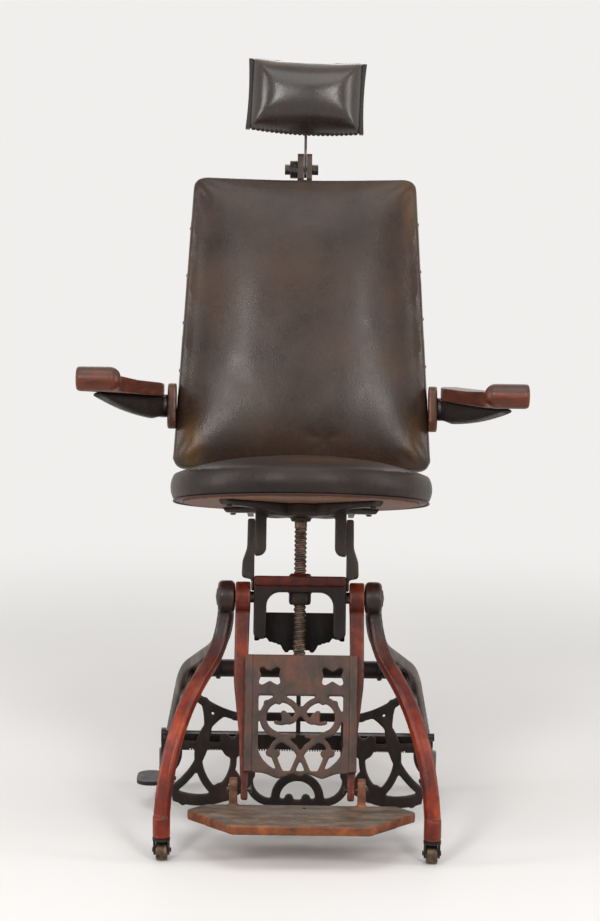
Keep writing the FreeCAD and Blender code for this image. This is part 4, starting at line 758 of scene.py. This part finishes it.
def headScallops(spec):
    # the gathered lower edge of the pillow, nailed in small scallops
    deselectAll()
    bpy.ops.mesh.primitive_uv_sphere_add(segments=14, ring_count=8, radius=spec["radius"] * mm)
    first = bpy.context.object
    first.scale = spec["lobe"]
    settle(first)
    lobes = []
    for index in range(spec["count"]):
        across = -1 + 2 * index / (spec["count"] - 1)
        place = shift(across * spec["reach"], spec["depth"], spec["low"] - spec["sag"] * (1 - across * across))
        lobes.append(copyPiece(first, "lobe", headrestFrame @ place))
    bpy.data.objects.remove(first)
    scallops = joinPieces(lobes, "headrestScallops")
    paint(scallops, edgeHide, 60)
    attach(scallops, "headrest")


headScallops(scallopSpec)
print("headrest trimmed")

weltSpec = {"radius": 223.5, "cord": 2.0, "height": 166.0}


def seatWelt(spec):
    # a russet cord round the foot of the seat cushion
    deselectAll()
    bpy.ops.mesh.primitive_torus_add(major_radius=spec["radius"] * mm, minor_radius=spec["cord"] * mm,
                                     major_segments=160, minor_segments=10)
    welt = bpy.context.object
    welt.name = "seatWelt"
    settle(welt, seatFrame @ shift(0, 0, spec["height"]))
    paint(welt, redHide, 60)
    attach(welt, "seat")


seatWelt(weltSpec)


# wooden arms, edges worn round

rollSpec = {"axis": (-338.0, 21.5), "shoulder": 79.0, "end": 61.5, "dome": 0.45, "back": -312.0, "ease": 10,
            "top": 25.0, "cove": 0.65, "coveEase": 8, "voxel": 2.0, "smoothing": 16, "rub": (1.3, -0.1)}


def armShape(point, sign, spec):
    # the rolled end is domed where it meets the board, and the board comes out of it in a low cove
    p = point / mm
    y, z = spec["axis"]
    nearEnd = clamp((spec["shoulder"] - sign * p.x) / (spec["shoulder"] - spec["end"]))
    drawn = 1 - spec["dome"] * nearEnd * nearEnd * clamp((spec["back"] - p.y) / spec["ease"])
    behind = clamp((p.y - spec["back"] + spec["ease"]) / spec["coveEase"])
    proud = max(0.0, p.z - spec["top"])
    high = p.z - proud * spec["cove"] * behind
    return Vector((p.x, y + (p.y - y) * drawn, z + (high - z) * drawn)) * mm


def wornArm(side, spec):
    arm = copyNode("arm_board_" + side, "armWood" + side.capitalize())
    own = boardFrame(side)
    arm.data.transform(own.inverted())
    remeshPiece(arm, spec["voxel"], spec["smoothing"])
    for vertex in arm.data.vertices:
        vertex.co = armShape(vertex.co, armSign(side), spec)
    arm.data.transform(own)
    arm.data.update()
    rubbed = arm.data.attributes.new("rubbed", "FLOAT", "POINT")
    gain, start = spec["rub"]
    rubbed.data.foreach_set("value", [clamp(vertex.normal.z * gain + start) for vertex in arm.data.vertices])
    paint(arm, mahogany, 60)
    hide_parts("arm_board_" + side)
    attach(arm, "arm_" + side)


for side in ("left", "right"):
    wornArm(side, rollSpec)
print("arms worn")


# elevating screw with its coarse thread

screwSpec = {"core": 9.2, "crest": 10.9, "pitch": 8.0, "root": 2.0, "flank": 1.6, "land": 2.8, "low": -150.0,
             "turns": 34, "steps": 28, "foot": (-152, -148.5), "coreFoot": -149, "shoulder": 132.8, "pin": 8.0,
             "pinTop": 156.5, "square": 14, "squareTall": 20, "squareMiddle": -160, "edge": 0.8}


def threadedScrew(spec):
    deselectAll()
    bpy.ops.mesh.primitive_plane_add(size=1 * mm)
    thread = bpy.context.object
    bpy.ops.object.mode_set(mode="EDIT")
    bpy.ops.mesh.select_all(action="SELECT")
    bpy.ops.mesh.merge(type="CENTER")
    bpy.ops.transform.translate(value=(spec["core"] * mm, 0, spec["low"] * mm))
    rise = spec["crest"] - spec["core"]
    for outward, upward in ((0, spec["root"]), (rise, spec["flank"]), (0, spec["land"]), (-rise, spec["flank"])):
        bpy.ops.mesh.extrude_vertices_move(TRANSFORM_OT_translate={"value": (outward * mm, 0, upward * mm)})
    bpy.ops.object.mode_set(mode="OBJECT")
    turn = thread.modifiers.new("turn", "SCREW")
    turn.axis = "Z"
    turn.screw_offset = spec["pitch"] * mm
    turn.iterations = spec["turns"]
    turn.steps = spec["steps"]
    turn.render_steps = spec["steps"]
    turn.use_merge_vertices = True
    turn.use_normal_calculate = True
    applyModifiers(thread)
    bpy.ops.object.mode_set(mode="EDIT")
    bpy.ops.mesh.select_all(action="SELECT")
    bpy.ops.mesh.remove_doubles(threshold=0.01 * mm)
    bpy.ops.mesh.normals_make_consistent(inside=False)
    bpy.ops.object.mode_set(mode="OBJECT")
    top = spec["low"] + (spec["turns"] + 1) * spec["pitch"]
    rods = [(spec["crest"], *spec["foot"]), (spec["crest"], top - spec["pitch"], spec["shoulder"]),
            (spec["pin"], spec["shoulder"], spec["pinTop"]), (spec["core"], spec["coreFoot"], top)]
    solids = []
    for radius, low, high in rods:
        deselectAll()
        bpy.ops.mesh.primitive_cylinder_add(vertices=40, radius=radius * mm, depth=(high - low) * mm,
                                            location=(0, 0, (low + high) / 2 * mm))
        solids.append(bpy.context.object)
    deselectAll()
    bpy.ops.mesh.primitive_cube_add(size=spec["square"] * mm, location=(0, 0, spec["squareMiddle"] * mm))
    bpy.context.object.scale = (1, 1, spec["squareTall"] / spec["square"])
    solids.append(bpy.context.object)
    for solid in solids:
        settle(solid)
        bevel = solid.modifiers.new("edge", "BEVEL")
        bevel.width = spec["edge"] * mm
        bevel.segments = 2
        applyModifiers(solid)
    screw = joinPieces([thread] + solids, "liftScrewThread")
    settle(screw, seatFrame)
    paint(screw, screwSteel, 40)
    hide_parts("lift_screw")
    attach(screw, "lift_screw")


threadedScrew(screwSpec)
print("screw threaded")


# round-headed tacks and rivets

def domedHead(radius, height):
    deselectAll()
    bpy.ops.mesh.primitive_uv_sphere_add(segments=12, ring_count=8, radius=radius * mm)
    head = bpy.context.object
    bpy.ops.object.mode_set(mode="EDIT")
    bpy.ops.mesh.select_all(action="SELECT")
    bpy.ops.mesh.bisect(plane_co=(0, 0, 0), plane_no=(0, 0, 1), clear_inner=True, use_fill=True)
    bpy.ops.object.mode_set(mode="OBJECT")
    settle(head, Matrix.Diagonal((1, 1, height / radius, 1)))
    return head


def driveHeads(head, places, name, material, body):
    # one copy of the head at each place, facing outward
    heads = []
    for point, outward in places:
        turn = Vector((0, 0, 1)).rotation_difference(Vector(outward)).to_matrix().to_4x4()
        heads.append(copyPiece(head, "head", Matrix.Translation(point) @ turn))
    bpy.data.objects.remove(head)
    driven = joinPieces(heads, name)
    paint(driven, material, 60)
    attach(driven, body)


tackSpec = {"radius": 4.0, "height": 2.6, "left": (190, 282, 374, 466), "right": (203, 295, 387, 479), "sunk": 1.0,
            "sideDepth": 42, "rearFace": 70, "rim": 19.0, "rows": 12, "firstRow": 22, "rowStep": 47,
            "lines": ((221, 22), (194, 539)), "gaps": 9}


def backTacks(spec):
    places = []
    for side in ("left", "right"):
        sign = armSign(side)
        outward = backFrame.to_3x3() @ Vector((sign, 0, 0))
        for z in spec[side]:
            tack = Vector((sign * (backEdge(z) - spec["sunk"]), spec["sideDepth"], z)) * mm
            places.append((backFrame @ tack, outward))
    rim = []
    for row in range(spec["rows"]):
        z = spec["firstRow"] + row * spec["rowStep"]
        rim += [(sign * (backEdge(z) - spec["rim"]), z) for sign in (-1, 1)]
    for step in range(1, spec["gaps"]):
        rim += [(-half + step * 2 * half / spec["gaps"], z) for half, z in spec["lines"]]
    outward = backFrame.to_3x3() @ Vector((0, 1, 0))
    places += [(backFrame @ (Vector((x, spec["rearFace"], z)) * mm), outward) for x, z in rim]
    driveHeads(domedHead(spec["radius"], spec["height"]), places, "backTacks", tackSteel, "back")


backTacks(tackSpec)

rivetSpec = {"radius": 3.2, "height": 1.4, "place": (12, -292, 79.6)}
rivetPlace = (Vector(rivetSpec["place"]) * mm, (0, 0, 1))
driveHeads(domedHead(rivetSpec["radius"], rivetSpec["height"]), [rivetPlace], "treadRivet", boltSteel, "footplate")
print("tacks and rivets in")


# studio, sized in metres

stageSpec = {"size": 90.0, "near": 0.8, "far": 2.7, "pale": "#f1efed", "lit": "#f2f0ee", "strength": 0.42}


def shownRays(tree):
    # what the lens, polish and glass see, but not what lights the chair
    kinds = ("Is Camera Ray", "Is Glossy Ray", "Is Transmission Ray")
    lens, polish, glass = [addNode(tree, "LightPath", out=kind) for kind in kinds]
    direct = addNode(tree, "Math", {0: lens, 1: polish}, operation="MAXIMUM")
    return addNode(tree, "Math", {0: direct, 1: glass}, operation="MAXIMUM")


def paleFloor(spec):
    deselectAll()
    bpy.ops.mesh.primitive_plane_add(size=spec["size"])
    floor = bpy.context.object
    floor.name = "studioFloor"
    # white studio paper, a little uneven, running out into the pale room
    material, tree, place = startMaterial("paleStudioPaper")
    cloud = addNode(tree, "TexNoise", {"Vector": place, "Scale": 1000 / 900, "Detail": 2.0})
    color = addNode(tree, "ValToRGB", {"Fac": cloud}, stops=[(0.3, "#e6e4e1"), (0.7, "#eae8e6")])
    paper = addNode(tree, "BsdfPrincipled", {"Base Color": color, "Roughness": 0.85})
    glow = addNode(tree, "Emission", {"Color": hexColor(spec["pale"]), "Strength": 1.0})
    away = addNode(tree, "VectorMath", {0: place}, "Value", operation="LENGTH")
    far = addNode(tree, "MapRange", {"Value": away, "From Min": spec["near"], "From Max": spec["far"]},
                  interpolation_type="SMOOTHSTEP")
    share = addNode(tree, "Math", {0: far, 1: shownRays(tree)}, operation="MULTIPLY")
    addNode(tree, "OutputMaterial", {"Surface": addNode(tree, "MixShader", {0: share, 1: paper, 2: glow})})
    paint(floor, material, 40)


def paleRoom(spec):
    world = bpy.data.worlds.new("paleRoom")
    world.use_nodes = True
    tree = world.node_tree
    tree.nodes.clear()
    lit = addNode(tree, "Background", {"Color": hexColor(spec["lit"]), "Strength": spec["strength"]})
    seen = addNode(tree, "Background", {"Color": hexColor(spec["pale"]), "Strength": 1.0})
    addNode(tree, "OutputWorld", {"Surface": addNode(tree, "MixShader", {0: shownRays(tree), 1: lit, 2: seen})})
    bpy.context.scene.world = world


lampSpecs = {
    "windowLeft": {"place": (-1.3, -3.2, 2.3), "aim": (0, 0, 1.0), "size": (0.6, 1.5), "watts": 44},
    "windowRight": {"place": (1.3, -3.2, 2.3), "aim": (0, 0, 1.0), "size": (0.6, 1.5), "watts": 40},
    "sideFillLeft": {"place": (-2.8, -0.9, 1.3), "aim": (0, 0, 0.8), "size": (0.5, 2.2), "watts": 32},
    "sideFillRight": {"place": (2.8, -0.8, 1.3), "aim": (0, 0, 0.8), "size": (0.5, 2.2), "watts": 27},
    "rearFill": {"place": (0, 3.2, 2.3), "aim": (0, 0, 0.6), "size": (2.4, 1.2), "watts": 16},
    "skylight": {"place": (0, -1.1, 3.7), "aim": (0, 0.2, 0.4), "size": (3.0, 2.2), "watts": 40},
}


def softBox(name, spec):
    light = bpy.data.lights.new(name, "AREA")
    light.shape = "RECTANGLE"
    light.size, light.size_y = spec["size"]
    light.energy = spec["watts"]
    lamp = bpy.data.objects.new(name, light)
    lamp.location = spec["place"]
    lamp.rotation_euler = (Vector(spec["aim"]) - Vector(spec["place"])).to_track_quat("-Z", "Y").to_euler()
    bpy.context.scene.collection.objects.link(lamp)


paleFloor(stageSpec)
for name, spec in lampSpecs.items():
    softBox(name, spec)
paleRoom(stageSpec)
bpy.context.scene.view_settings.view_transform = "Standard"
print("studio lit")


# camera at the photograph's place

cameraSpec = {"focal": 2200.0, "tall": 921, "sensor": 36, "reach": 60, "down": 8.45, "roll": 0.75, "x": -3.0,
              "height": 1222.0, "distance": 3773.0}


def photoCamera(spec):
    data = bpy.data.cameras.new("photoCamera")
    data.sensor_width = spec["sensor"]
    data.lens = spec["sensor"] * spec["focal"] / spec["tall"]
    data.clip_end = spec["reach"]
    camera = bpy.data.objects.new("photoCamera", data)
    camera.location = (spec["x"] * mm, hub.y - spec["distance"] * mm, spec["height"] * mm)
    tilt = Matrix.Rotation(math.radians(90 - spec["down"]), 4, "X")
    roll = Matrix.Rotation(math.radians(spec["roll"]), 4, "Z")
    camera.rotation_euler = (tilt @ roll).to_euler()
    bpy.context.scene.collection.objects.link(camera)
    bpy.context.scene.camera = camera


photoCamera(cameraSpec)
